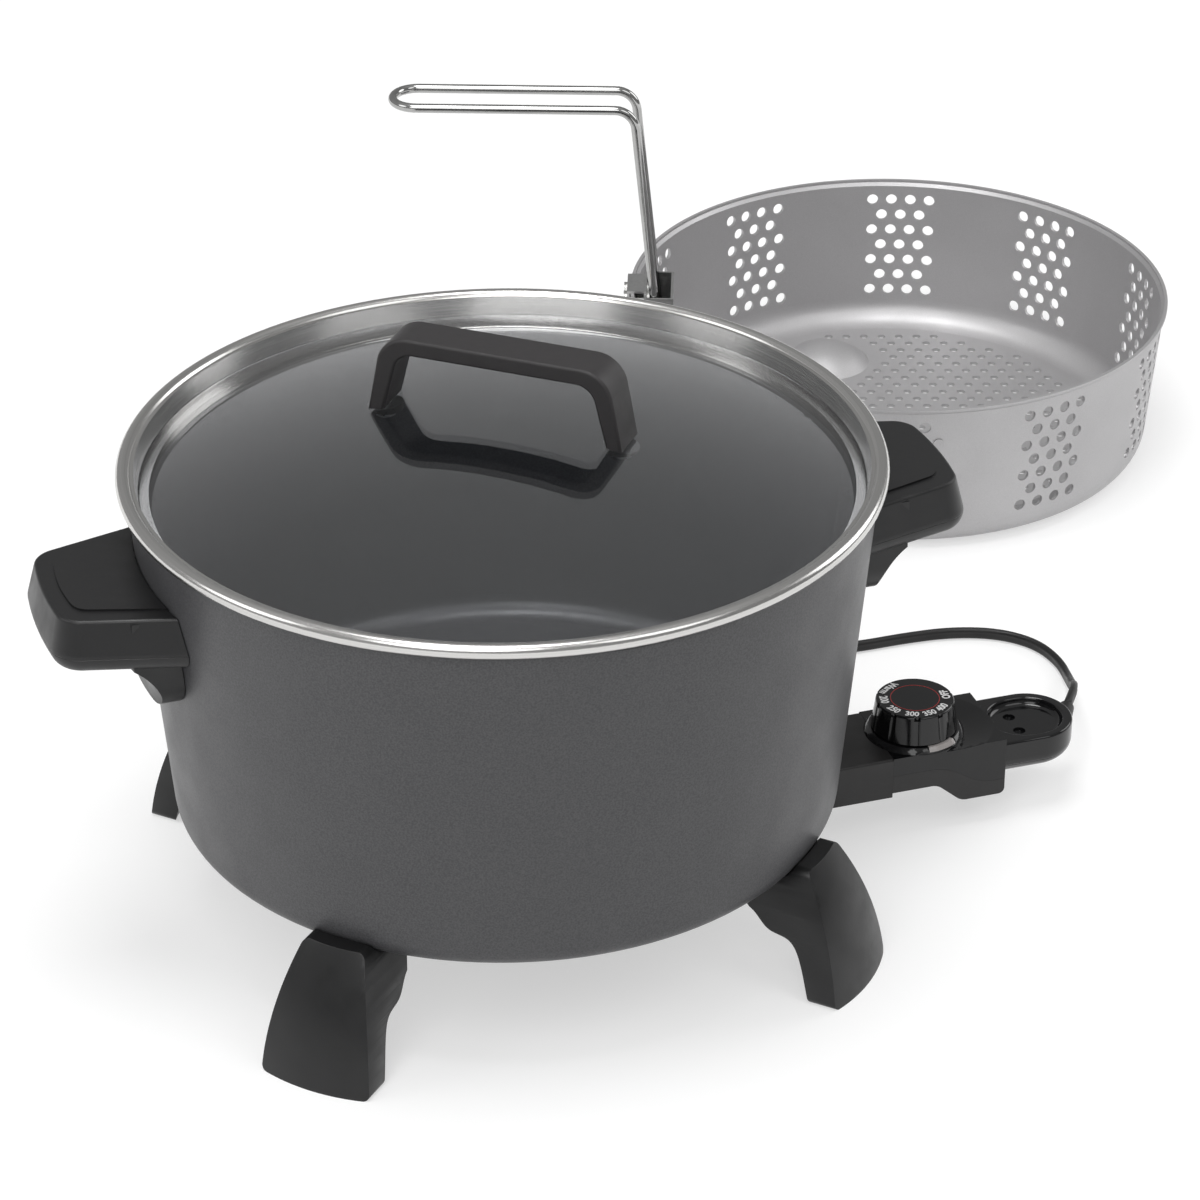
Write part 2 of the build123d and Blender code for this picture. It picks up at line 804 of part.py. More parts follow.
with BuildPart() as heating_element:
    with BuildLine() as element_path:
        FilletPolyline(*element_points, radius=element_bends)
    with BuildSketch(Plane(origin=element_path.line @ 0, z_dir=element_path.line % 0)):
        Circle(element_radius)
    sweep()
save(heating_element.part, "heating_element")

# Probe well: a cast rib under the base, bored for the heat control's probe
well_bottom_z = terminal_z - well_under
with BuildPart() as probe_well:
    with BuildSketch(Plane.YZ.offset(well_start_x)):
        with Locations((0, (well_bottom_z + pot_underside_z) / 2)):
            Rectangle(2 * well_half, pot_underside_z - well_bottom_z)
        with Locations((0, terminal_z)):
            Circle(probe_radius + probe_gap, mode=Mode.SUBTRACT)
    extrude(amount=well_end_x - well_start_x)
save(probe_well.part, "probe_well")

# Terminal pins: cold ends of the element, which the heat control plugs onto
terminal_spots = [(-terminal_side, terminal_z), (terminal_side, terminal_z)]
with BuildPart() as terminal_pins:
    with BuildSketch(Plane.YZ.offset(element_end_x + seat_gap)):
        with Locations(*terminal_spots):
            Circle(pin_radius)
    extrude(amount=pin_tip_x - element_end_x)
    fillet(terminal_pins.faces().sort_by(Axis.X)[-2:].edges(), pin_radius / 2)
save(terminal_pins.part, "terminal_pins")

# Terminal insulators: ceramic beads round the roots of the pins
with BuildPart() as terminal_insulators:
    with BuildSketch(Plane.YZ.offset(element_end_x + seat_gap)):
        with Locations(*terminal_spots):
            Circle(insulator_radius)
            Circle(pin_radius + seat_gap, mode=Mode.SUBTRACT)
    extrude(amount=insulator_length)
save(terminal_insulators.part, "terminal_insulators")

# Terminal guard: a folded steel hood round the pins, open towards the heat control
guard_top_z = pot_underside_z - seat_gap
guard_length = guard_front_x - guard_back_x
with BuildPart() as terminal_guard:
    with BuildSketch(Plane.YZ.offset(guard_back_x)):
        with Locations((0, guard_top_z - guard_drop / 2)):
            Rectangle(2 * guard_half, guard_drop)
    extrude(amount=guard_length)
    with BuildSketch(Plane.YZ.offset(guard_back_x + guard_sheet)):
        with Locations((0, guard_top_z - guard_sheet - guard_drop / 2)):
            Rectangle(2 * (guard_half - guard_sheet), guard_drop)
    extrude(amount=guard_length, mode=Mode.SUBTRACT)
    with BuildSketch(Plane.YZ.offset(guard_back_x - overrun)):
        with Locations((0, guard_top_z - guard_drop / 2)):
            Rectangle(2 * (well_half + loose_gap), guard_drop + overrun)
    extrude(amount=overrun + well_end_x + loose_gap - guard_back_x, mode=Mode.SUBTRACT)
    with BuildSketch(Plane.YZ.offset(guard_back_x - overrun)):
        with Locations(*terminal_spots):
            Circle(element_radius + loose_gap)
    extrude(amount=2 * overrun, mode=Mode.SUBTRACT)
    with BuildSketch(Plane.XY.offset(guard_top_z - guard_drop / 2)):
        with Locations(*guard_screw_spots):
            Circle(guard_screw_radius + seat_gap)
    extrude(amount=guard_drop, mode=Mode.SUBTRACT)
save(terminal_guard.part, "terminal_guard")

# Guard screws: short screws into the underside of the pot's base
guard_seat_z = guard_top_z - guard_sheet - seat_gap
with BuildPart() as guard_screws:
    with BuildSketch(Plane.XY.offset(guard_seat_z)):
        with Locations(*guard_screw_spots):
            Circle(guard_screw_head_radius)
    extrude(amount=-guard_screw_head_height)
    with BuildSketch(Plane.XY.offset(guard_seat_z)):
        with Locations(*guard_screw_spots):
            Circle(guard_screw_radius)
    extrude(amount=guard_sheet + guard_screw_bite)
save(guard_screws.part, "guard_screws")

# Heat control nose: heat-proof block that carries the sockets and the probe
tongue_end_x = nose_back_x + 2 * control_wall
with BuildPart() as control_nose:
    with BuildSketch(Plane.XY.offset(nose_bottom_z)):
        with Locations(((nose_front_x + nose_back_x) / 2, 0)):
            Rectangle(nose_back_x - seat_gap - nose_front_x, 2 * control_half)
    extrude(amount=deck_z - seat_gap - nose_bottom_z)
    fillet(control_nose.edges().filter_by(Axis.Z).group_by(Axis.X)[0], nose_round)
    fillet(control_nose.faces().sort_by(Axis.Z)[-1].edges().sort_by(Axis.X)[:-1], nose_edge)
    with BuildSketch(Plane.YZ.offset(nose_back_x - overrun / 2)):
        with Locations((0, terminal_z)):
            Rectangle(2 * tongue_half, 2 * tongue_half_height)
    extrude(amount=tongue_end_x - nose_back_x + overrun / 2)
    with BuildSketch(Plane.YZ.offset(nose_front_x - overrun)):
        with Locations(*terminal_spots):
            Circle(pin_radius + socket_mouth_gap)
    extrude(amount=overrun + socket_start_x - nose_front_x, mode=Mode.SUBTRACT)
    with BuildSketch(Plane.YZ.offset(socket_start_x)):
        with Locations(*terminal_spots):
            Circle(socket_radius + seat_gap)
    extrude(amount=socket_end_x + seat_gap - socket_start_x, mode=Mode.SUBTRACT)
    with BuildSketch(Plane.YZ.offset(nose_front_x - overrun)):
        with Locations((0, terminal_z)):
            Circle(probe_radius + seat_gap)
    extrude(amount=2 * overrun + tongue_end_x - nose_front_x, mode=Mode.SUBTRACT)
save(control_nose.part, "control_nose")

# Socket contacts: brass sleeves that grip the terminal pins
with BuildPart() as socket_contacts:
    with BuildSketch(Plane.YZ.offset(socket_start_x + seat_gap)):
        with Locations(*terminal_spots):
            Circle(socket_radius)
            Circle(pin_radius + loose_gap, mode=Mode.SUBTRACT)
    extrude(amount=socket_end_x - socket_start_x - seat_gap)
save(socket_contacts.part, "socket_contacts")

# Probe: steel rod that reads the pot's heat
with BuildPart() as probe:
    with BuildSketch(Plane.YZ.offset(probe_tip_x)):
        with Locations((0, terminal_z)):
            Circle(probe_radius)
    extrude(amount=thermostat_start_x - seat_gap - probe_tip_x)
    fillet(probe.faces().sort_by(Axis.X)[0].edges(), probe_radius * probe_tip_share)
save(probe.part, "probe")


def control_side():
    """Side view of the heat control's body behind the nose."""
    with BuildSketch(Plane.XZ) as side:
        with BuildLine():
            Polyline(
                (nose_back_x, waist_bottom_z),
                (waist_end_x, waist_bottom_z),
                (belly_start_x, belly_bottom_z),
                (ridge_x, belly_bottom_z),
                (ridge_x, deck_z),
                (nose_back_x, deck_z),
                close=True,
            )
        make_face()
        fillet(side.vertices().sort_by(Axis.X)[2:4], belly_bend)
        fillet(side.vertices().sort_by(Axis.X)[-2:].sort_by(Axis.Y)[0], belly_end_round)
    return side.sketch


def control_hood():
    """Rounded tail of the heat control, with a shallow dish in its top."""
    hood_centre_x = hood_end_x - hood_half
    hood_root_x = ridge_x - 2 * hood_round
    with BuildPart() as dish:
        with BuildSketch(Plane.XY.offset(hood_top_z - dish_depth)):
            with Locations((dish_x, 0)):
                SlotCenterToCenter(dish_stretch, 2 * dish_radius)
        extrude(amount=dish_depth + overrun)
        fillet(dish.faces().sort_by(Axis.Z)[0].edges(), dish_round)
    with BuildPart() as hood:
        with BuildSketch(Plane.XY.offset(hood_bottom_z)):
            with Locations(((hood_root_x + hood_centre_x) / 2, 0)):
                Rectangle(hood_centre_x - hood_root_x, 2 * hood_half)
            with Locations((hood_centre_x, 0)):
                Circle(hood_half)
        extrude(amount=hood_top_z - hood_bottom_z)
        fillet(hood.faces().sort_by(Axis.Z)[0].edges(), hood_round)
        add(dish.part, mode=Mode.SUBTRACT)
        fillet(hood.faces().sort_by(Axis.Z)[-1].edges(), hood_rim_round)
        with BuildSketch(Plane.XY.offset(hood_top_z)):
            with Locations((dimple_x, -dimple_side), (dimple_x, dimple_side)):
                Circle(dimple_radius)
        extrude(amount=-dish_depth - dimple_depth, mode=Mode.SUBTRACT)
    return hood.part


def parting_zone(lift, tail):
    """Block on one side of the shells' parting line, which is lifted a little, closed by a tail."""
    near_x = nose_back_x - overrun
    with BuildPart() as zone:
        with BuildSketch(Plane.XZ):
            with BuildLine():
                Spline(
                    (parting_bend_start_x, parting_nose_z + lift),
                    (parting_bend_end_x, parting_belly_z + lift),
                    tangents=((1, 0), (1, 0)),
                )
                Polyline(
                    (parting_bend_end_x, parting_belly_z + lift),
                    *tail,
                    (near_x, tail[-1][1]),
                    (near_x, parting_nose_z + lift),
                    (parting_bend_start_x, parting_nose_z + lift),
                )
            make_face()
        extrude(amount=control_half + overrun, both=True)
    return zone.part


# Boot: the short bush that holds the lead in the end of the heat control
boot_out = Vector(cos(radians(boot_turn)), sin(radians(boot_turn)), 0)
boot_mouth = Vector(boot_exit_x, boot_exit_y, boot_z)
boot_root = boot_mouth - boot_out * boot_inside
boot_tip = boot_mouth + boot_out * boot_outside
boot_plane = Plane(origin=boot_root, z_dir=boot_out)
with BuildPart() as cord_boot:
    with BuildSketch(boot_plane):
        Circle(boot_root_radius)
    with BuildSketch(boot_plane.offset(boot_inside)):
        Circle(boot_root_radius)
    loft()
    with BuildSketch(boot_plane.offset(boot_inside)):
        Circle(boot_root_radius)
    with BuildSketch(boot_plane.offset(boot_inside + boot_outside)):
        Circle(boot_tip_radius)
    loft()
save(cord_boot.part, "cord_boot")

# Heat control casing: upper and lower shells that meet at the parting line
hood_part = control_hood()
side_sketch = control_side()
boss_spots = [
    (control_boss_x, -control_boss_side),
    (control_boss_x, control_boss_side),
    (control_rear_boss_x, 0),
]
boss_feet = [waist_bottom_z, waist_bottom_z, belly_bottom_z]
control_span = hood_end_x - nose_back_x
control_middle_x = (hood_end_x + nose_back_x) / 2
upper_zone = parting_zone(
    seat_gap,
    [
        (ridge_x, parting_belly_z + seat_gap),
        (ridge_x, hood_bottom_z - overrun),
        (hood_end_x + overrun, hood_bottom_z - overrun),
        (hood_end_x + overrun, deck_z + collar_height + overrun),
    ],
)
lower_zone = parting_zone(0, [(ridge_x, parting_belly_z), (ridge_x, belly_bottom_z - overrun)])
with BuildPart() as control_outside:
    extrude(side_sketch, amount=control_half, both=True)
    add(hood_part)
    with BuildSketch(boot_plane):
        Circle(boot_root_radius + seat_gap)
    extrude(amount=boot_inside + overrun, mode=Mode.SUBTRACT)
    with BuildSketch(Plane.YZ.offset(nose_back_x - overrun)):
        with Locations((0, terminal_z)):
            Rectangle(2 * (tongue_half + seat_gap), 2 * (tongue_half_height + seat_gap))
    extrude(amount=overrun + tongue_end_x - nose_back_x, mode=Mode.SUBTRACT)
with BuildPart() as control_cavity:
    with BuildSketch(Plane.XZ):
        add(side_sketch)
        offset(amount=-control_wall, kind=Kind.INTERSECTION)
    extrude(amount=control_half - control_wall, both=True)
    with BuildSketch(Plane.XY.offset(deck_z - deck_wall)):
        with Locations((control_middle_x, 0)):
            Rectangle(control_span + overrun, 2 * control_half + overrun)
    extrude(amount=-deck_z, mode=Mode.INTERSECT)
# Shallow bowl in the deck that leaves the dial's collar standing
bowl_sphere = (bowl_radius**2 + bowl_depth**2) / (2 * bowl_depth)
with BuildPart() as bowl:
    with Locations((bowl_x, 0, deck_z - bowl_depth + bowl_sphere)):
        Sphere(bowl_sphere)
    with BuildSketch(Plane.XY.offset(waist_bottom_z)):
        with Locations((dial_x, 0)):
            Circle(collar_radius)
    extrude(amount=2 * bowl_sphere, mode=Mode.SUBTRACT)
lens_ring_inner = collar_top_radius - lens_depth
lens_floor_z = deck_z + collar_height - lens_depth
lens_first_turn = lens_turn - lens_sweep / 2
collar_slope = (collar_radius - collar_top_radius) / collar_height
dial_axis = Axis((dial_x, 0, 0), (0, 0, 1))
with BuildPart() as control_top:
    add(control_outside.part)
    add(control_cavity.part, mode=Mode.SUBTRACT)
    with BuildSketch(Plane.XY.offset(belly_bottom_z)):
        with Locations(*boss_spots):
            Circle(control_boss_radius)
    extrude(amount=deck_z - deck_wall / 2 - belly_bottom_z)
    add(bowl.part, mode=Mode.SUBTRACT)
    with BuildSketch(upright(0, (dial_x, 0, 0))):
        with BuildLine():
            Polyline(
                (0, deck_z),
                (collar_radius, deck_z),
                (collar_top_radius, deck_z + collar_height),
                (0, deck_z + collar_height),
                close=True,
            )
        make_face()
    revolve(axis=dial_axis)
    add(upper_zone, mode=Mode.INTERSECT)
    with BuildSketch(Plane.XY.offset(belly_bottom_z)):
        with Locations(*boss_spots):
            Circle(control_screw_radius + seat_gap)
    extrude(amount=control_screw_top_z + seat_gap - belly_bottom_z, mode=Mode.SUBTRACT)
    with BuildSketch(Plane.XY.offset(waist_bottom_z)):
        with Locations((dial_x, 0)):
            Circle(shaft_radius + run_gap)
    extrude(amount=deck_z, mode=Mode.SUBTRACT)
    with BuildSketch(upright(lens_first_turn, (dial_x, 0, 0))):
        with Locations((lens_ring_inner, lens_floor_z)):
            Rectangle(overrun, overrun, align=(Align.MIN, Align.MIN))
    revolve(axis=dial_axis, revolution_arc=lens_sweep, mode=Mode.SUBTRACT)
save(control_top.part, "control_top")
with BuildPart() as control_bottom:
    add(control_outside.part)
    add(control_cavity.part, mode=Mode.SUBTRACT)
    for spot, foot in zip(boss_spots, boss_feet):
        with BuildSketch(Plane.XY.offset(foot + control_wall / 2)):
            with Locations(spot):
                Circle(control_boss_radius)
        extrude(amount=deck_z - deck_wall - foot)
    add(lower_zone, mode=Mode.INTERSECT)
    for spot, foot in zip(boss_spots, boss_feet):
        with BuildSketch(Plane.XY.offset(foot - overrun)):
            with Locations(spot):
                Circle(control_screw_radius + seat_gap)
        extrude(amount=overrun + deck_z - foot, mode=Mode.SUBTRACT)
        with BuildSketch(Plane.XY.offset(foot - overrun)):
            with Locations(spot):
                Circle(control_screw_head_radius + loose_gap)
        extrude(amount=overrun + control_screw_head_height, mode=Mode.SUBTRACT)
save(control_bottom.part, "control_bottom")

# Control screws: three screws that draw the shells together from below
with BuildPart() as control_screws:
    for spot, foot in zip(boss_spots, boss_feet):
        with BuildSketch(Plane.XY.offset(foot + control_screw_head_height - seat_gap)):
            with Locations(spot):
                Circle(control_screw_head_radius)
        extrude(amount=-control_screw_head_height)
        with BuildSketch(Plane.XY.offset(foot + control_screw_head_height - seat_gap)):
            with Locations(spot):
                Circle(control_screw_radius)
        extrude(amount=control_screw_top_z - foot - control_screw_head_height)
save(control_screws.part, "control_screws")

# Pilot lens: a curved window let into the collar, on the side that faces the cook
with BuildPart() as pilot_lens:
    with BuildSketch(upright(lens_first_turn + lens_edge_turn, (dial_x, 0, 0))):
        with BuildLine():
            Polyline(
                (lens_ring_inner + seat_gap, lens_floor_z + seat_gap),
                (collar_top_radius + collar_slope * (lens_depth - seat_gap), lens_floor_z + seat_gap),
                (collar_top_radius, deck_z + collar_height),
                (lens_ring_inner + seat_gap, deck_z + collar_height),
                close=True,
            )
        make_face()
    revolve(axis=dial_axis, revolution_arc=lens_sweep - 2 * lens_edge_turn)
save(pilot_lens.part, "pilot_lens")

# Thermostat: the switch block that the dial sets and the probe works
thermostat_floor_z = waist_bottom_z + control_wall + seat_gap
with BuildPart() as thermostat:
    with BuildSketch(Plane.XY.offset(thermostat_floor_z)):
        with Locations(((thermostat_start_x + thermostat_end_x) / 2, 0)):
            Rectangle(thermostat_end_x - thermostat_start_x, 2 * thermostat_half)
    extrude(amount=thermostat_height)
    with BuildSketch(Plane.XY.offset(shaft_foot_z - loose_gap)):
        with Locations((dial_x, 0)):
            Circle(shaft_radius + run_gap)
    extrude(amount=thermostat_height, mode=Mode.SUBTRACT)
save(thermostat.part, "thermostat")

# Dial: a hollow knob with a notched top edge
dial_foot_z = deck_z + collar_height + dial_lift
dial_top_z = dial_foot_z + dial_height
dial_inner = dial_top_radius - dial_wall
with BuildPart() as dial:
    with BuildSketch(upright(0, (dial_x, 0, 0))) as half:
        with BuildLine():
            Polyline(
                (0, dial_foot_z),
                (dial_hub_radius, dial_foot_z),
                (dial_hub_radius, dial_top_z - dial_roof),
                (dial_inner, dial_top_z - dial_roof),
                (dial_inner, dial_foot_z),
                (dial_skirt_radius, dial_foot_z),
                (dial_top_radius, dial_top_z),
                (0, dial_top_z),
                close=True,
            )
        make_face()
        fillet(half.vertices().group_by(Axis.Y)[-1].sort_by(Axis.X)[-1], dial_top_round)
    revolve(axis=dial_axis)
    with BuildSketch(Plane.XY.offset(dial_top_z - dial_notch_drop)):
        with Locations((dial_x, 0)):
            with PolarLocations(dial_top_radius + dial_notch_radius - dial_notch_depth, dial_notches):
                Circle(dial_notch_radius)
    extrude(amount=dial_notch_drop + overrun, mode=Mode.SUBTRACT)
    with BuildSketch(Plane.XY.offset(dial_foot_z)):
        with Locations((dial_x, 0)):
            Circle(shaft_radius + seat_gap)
    extrude(amount=shaft_bite + seat_gap, mode=Mode.SUBTRACT)
save(dial.part, "dial")

# Dial shaft: steel spindle pressed into the dial's hub
with BuildPart() as dial_shaft:
    with BuildSketch(Plane.XY.offset(shaft_foot_z)):
        with Locations((dial_x, 0)):
            Circle(shaft_radius)
    extrude(amount=dial_foot_z + shaft_bite - shaft_foot_z)
save(dial_shaft.part, "dial_shaft")

# Coil: the length of lead that is put away, wound in two layers behind the pot
coil_inner = coil_outer - coil_pitch * coil_turns_in
coil_climb_start = coil_turns_in
coil_climb_end = coil_turns_in + coil_turns_climb
coil_turns = coil_climb_end + coil_turns_out


def coil_point(turns):
    """Place on the coil's centre line after a number of turns."""
    climb = min(max((turns - coil_climb_start) / coil_turns_climb, 0), 1)
    rise = climb * climb * (3 - 2 * climb)
    radius = coil_inner
    radius += coil_pitch * max(coil_climb_start - turns, 0)
    radius += coil_pitch * max(turns - coil_climb_end, 0)
    angle = -pi / 2 - 2 * pi * turns
    return Vector(
        coil_x + radius * cos(angle),
        coil_y + radius * sin(angle),
        coil_low_z + coil_layer * rise,
    )


def coil_heading(turns):
    """Direction of the coil's centre line after a number of turns."""
    step = coil_quarter / 1000
    return (coil_point(turns + step) - coil_point(turns - step)).normalized()


def biarc_middle(start, start_dir, end, end_dir):
    """Point and direction where two arcs meet that join two places with set directions."""
    chord = end - start
    bend = 2 * (1 - start_dir.dot(end_dir))
    along = chord.dot(start_dir + end_dir)
    reach = (sqrt(along**2 + bend * chord.dot(chord)) - along) / bend
    first = start + start_dir * reach
    second = end - end_dir * reach
    return (first + second) * 0.5, (second - first).normalized()


coil_steps = round(coil_turns / coil_quarter)
coil_start_dir = coil_heading(0)
coil_end_dir = coil_heading(coil_turns)
coil_mouth = coil_point(0) - coil_start_dir * 2 * cord_radius
coil_tail_end = coil_point(coil_turns) + coil_end_dir * coil_tail
with BuildPart() as cord_coil:
    with BuildLine() as coil_path:
        Line(coil_mouth, coil_point(0))
        for step in range(coil_steps):
            here, there = step * coil_quarter, (step + 1) * coil_quarter
            middle, middle_dir = biarc_middle(
                coil_point(here), coil_heading(here), coil_point(there), coil_heading(there)
            )
            TangentArc(coil_point(here), middle, tangent=coil_heading(here))
            TangentArc(middle, coil_point(there), tangent=middle_dir)
        Line(coil_point(coil_turns), coil_tail_end)
    with BuildSketch(Plane(origin=coil_mouth, z_dir=coil_start_dir)):
        Circle(cord_radius)
    sweep()
save(cord_coil.part, "cord_coil")
coil_length = coil_path.wire().length
coil_line = coil_path.wire()
coil_places = [coil_line.position_at(index / coil_samples) for index in range(coil_samples + 1)]
coil_skip = round(coil_near_turns * 2 * pi * coil_inner / coil_length * coil_samples)
coil_gap = min(
    (coil_places[one] - coil_places[other]).length
    for one in range(coil_samples + 1)
    for other in range(one + coil_skip, coil_samples + 1)
)
print(f"coil: length {coil_length:.1f}, least gap to itself {coil_gap - 2 * cord_radius:.2f}")
coil_section = pi * cord_radius**2
print(f"coil: volume {cord_coil.part.volume:.0f}, section times length {coil_section * coil_length:.0f}")

# Lead: the free run of the cord from the boot to the coil
cord_route = [
    boot_tip + boot_out * seat_gap,
    boot_tip + boot_out * cord_lead_out,
    *[Vector(*point) for point in cord_points],
    coil_mouth - coil_start_dir * cord_lead_in,
    coil_mouth - coil_start_dir * seat_gap,
]
cord_runs = [second - first for first, second in zip(cord_route, cord_route[1:])]
cord_bends = [
    cord_bend_share * min(first.length, second.length) / tan(radians(first.get_angle(second)) / 2)
    for first, second in zip(cord_runs, cord_runs[1:])
]
with BuildPart() as cord:
    with BuildLine() as cord_path:
        FilletPolyline(*cord_route, radius=cord_bends)
    with BuildSketch(Plane(origin=cord_path.line @ 0, z_dir=cord_path.line % 0)):
        Circle(cord_radius)
    sweep()
save(cord.part, "cord")
cord_length = cord_path.wire().length
print("cord bends:", " ".join(f"{bend:.0f}" for bend in cord_bends))
print("cord runs:", " ".join(f"{run.length:.0f}" for run in cord_runs))
print(f"cord: length {cord_length:.1f}, with the coil {cord_length + coil_length:.1f}")
print(f"cord: volume {cord.part.volume:.0f}, section times length {pi * cord_radius**2 * cord_length:.0f}")

# Tie: a band round the coil's stacked turns
tie_half_inner = cord_radius + loose_gap
tie_turns = coil_turns_in - coil_quarter
tie_middle = (coil_point(tie_turns) + coil_point(tie_turns + 1)) * 0.5
tie_height = coil_layer + 2 * tie_half_inner
tie_plane = Plane(origin=tie_middle, x_dir=(1, 0, 0), z_dir=(0, -1, 0))
with BuildPart() as cord_tie:
    with BuildSketch(tie_plane):
        RectangleRounded(
            2 * (tie_half_inner + tie_thickness), tie_height + 2 * tie_thickness, tie_half_inner
        )
        RectangleRounded(2 * tie_half_inner, tie_height, tie_half_inner - tie_thickness, mode=Mode.SUBTRACT)
    extrude(amount=tie_width / 2, both=True)
save(cord_tie.part, "cord_tie")

# Plug: a moulded two-blade mains plug at the end of the coil
plug_half_height = coil_low_z + coil_layer - plug_floor_gap
plug_turn = degrees(atan2(coil_end_dir.Y, coil_end_dir.X))
plug_across = (-sin(radians(plug_turn)), cos(radians(plug_turn)), 0)
plug_plane = Plane(origin=coil_tail_end, x_dir=plug_across, z_dir=coil_end_dir)
with BuildPart() as plug:
    with BuildSketch(plug_plane):
        Circle(cord_radius)
    with BuildSketch(plug_plane.offset(plug_boot_length)):
        Circle(plug_boot_radius)
    loft()
    with BuildSketch(plug_plane.offset(plug_boot_length)):
        RectangleRounded(2 * plug_half_width, 2 * plug_half_height, plug_round)
    extrude(amount=plug_length)
    fillet(plug.faces().sort_by(Axis.X)[-1].edges(), plug_edge)
    with BuildSketch(plug_plane.offset(plug_boot_length + plug_length)):
        with Locations((-blade_spacing / 2, 0), (blade_spacing / 2, 0)):
            Rectangle(blade_thickness + 2 * seat_gap, blade_height + 2 * seat_gap)
    extrude(amount=-blade_root - seat_gap, mode=Mode.SUBTRACT)
save(plug.part, "plug")

# Plug blades: two flat brass blades set in the plug
with BuildPart() as plug_blades:
    with BuildSketch(plug_plane.offset(plug_boot_length + plug_length - blade_root)):
        with Locations((-blade_spacing / 2, 0), (blade_spacing / 2, 0)):
            Rectangle(blade_thickness, blade_height)
    extrude(amount=blade_root + blade_length)
save(plug_blades.part, "plug_blades")

# Basket: a drawn aluminium pan with a flared lip, a pierced wall, and a floor lifted on a foot ring
basket_middle = Vector(basket_x, basket_y, 0)
basket_floor_middle = basket_middle + Vector(0, 0, basket_floor_lift)
basket_axis = Axis((basket_x, basket_y, 0), (0, 0, 1))
basket_rim_radius = basket_neck_radius + basket_flare
basket_foot_radius = basket_neck_radius - basket_taper
ring_inner = basket_foot_radius - basket_corner - basket_ring
floor_radius = ring_inner - basket_floor_slope
lip_foot_z = basket_height - basket_lip
neck_z = lip_foot_z - basket_step


def basket_facing(turn, distance, height):
    """Upright plane square to a direction from the basket's axis, at a distance and a height."""
    plane = facing(turn, distance)
    return Plane(
        origin=basket_middle + plane.origin + Vector(0, 0, height), x_dir=plane.x_dir, z_dir=plane.z_dir
    )


def wall_radius(height):
    """Inside radius of the basket's wall at a height below the lip."""
    return basket_foot_radius + (basket_neck_radius - basket_foot_radius) * height / neck_z - basket_wall


hump_sphere = (hump_radius**2 + hump_height**2) / (2 * hump_height)
hump_side = hump_radius / 2
hump_side_z = hump_height - hump_sphere + sqrt(hump_sphere**2 - hump_side**2)
hump_out = floor_radius - hump_radius - hump_edge_gap
hump_spot = Vector(hump_out * cos(radians(hump_turn)), hump_out * sin(radians(hump_turn)), 0)
hump_middle = basket_floor_middle + hump_spot
floor_hole_reach = floor_radius - floor_hole_margin
floor_rows = int(floor_hole_reach // floor_hole_row)
floor_columns = int(floor_hole_reach // floor_hole_pitch) + 1
floor_spots = []
for row in range(-floor_rows, floor_rows + 1):
    for column in range(-floor_columns, floor_columns + 1):
        along = (column + (row % 2) / 2) * floor_hole_pitch
        spot = Vector(along, row * floor_hole_row, 0).rotate(Axis.Z, floor_hole_turn)
        if spot.length < floor_hole_reach and (spot - hump_spot).length > hump_radius + hump_margin:
            floor_spots.append(spot)
hole_middle_z = basket_height - hole_middle_drop
wall_planes = []
for group in range(hole_groups):
    for row, count in enumerate(hole_row_counts):
        hole_z = hole_middle_z + (row - (len(hole_row_counts) - 1) / 2) * hole_row
        for column in range(count):
            aside = (column - (count - 1) / 2) * hole_pitch
            turn = hole_group_turn + group * 360 / hole_groups + degrees(aside / wall_radius(hole_z))
            wall_planes.append(basket_facing(turn, wall_radius(hole_z) - basket_wall, hole_z))
bracket_foot_z = basket_height - bracket_height
bracket_half = wire_spacing / 2 + wire_radius + loose_gap + bracket_sheet
bracket_back = sqrt(wall_radius(bracket_foot_z) ** 2 - bracket_half**2) - bracket_wall_gap
bracket_front = bracket_back - bracket_sheet - bracket_depth
hook_face = basket_rim_radius + bracket_wall_gap
rivet_z = basket_height - rivet_drop
pip_z = basket_height - pip_drop
rivet_spots = [(-rivet_side, 0), (rivet_side, 0)]
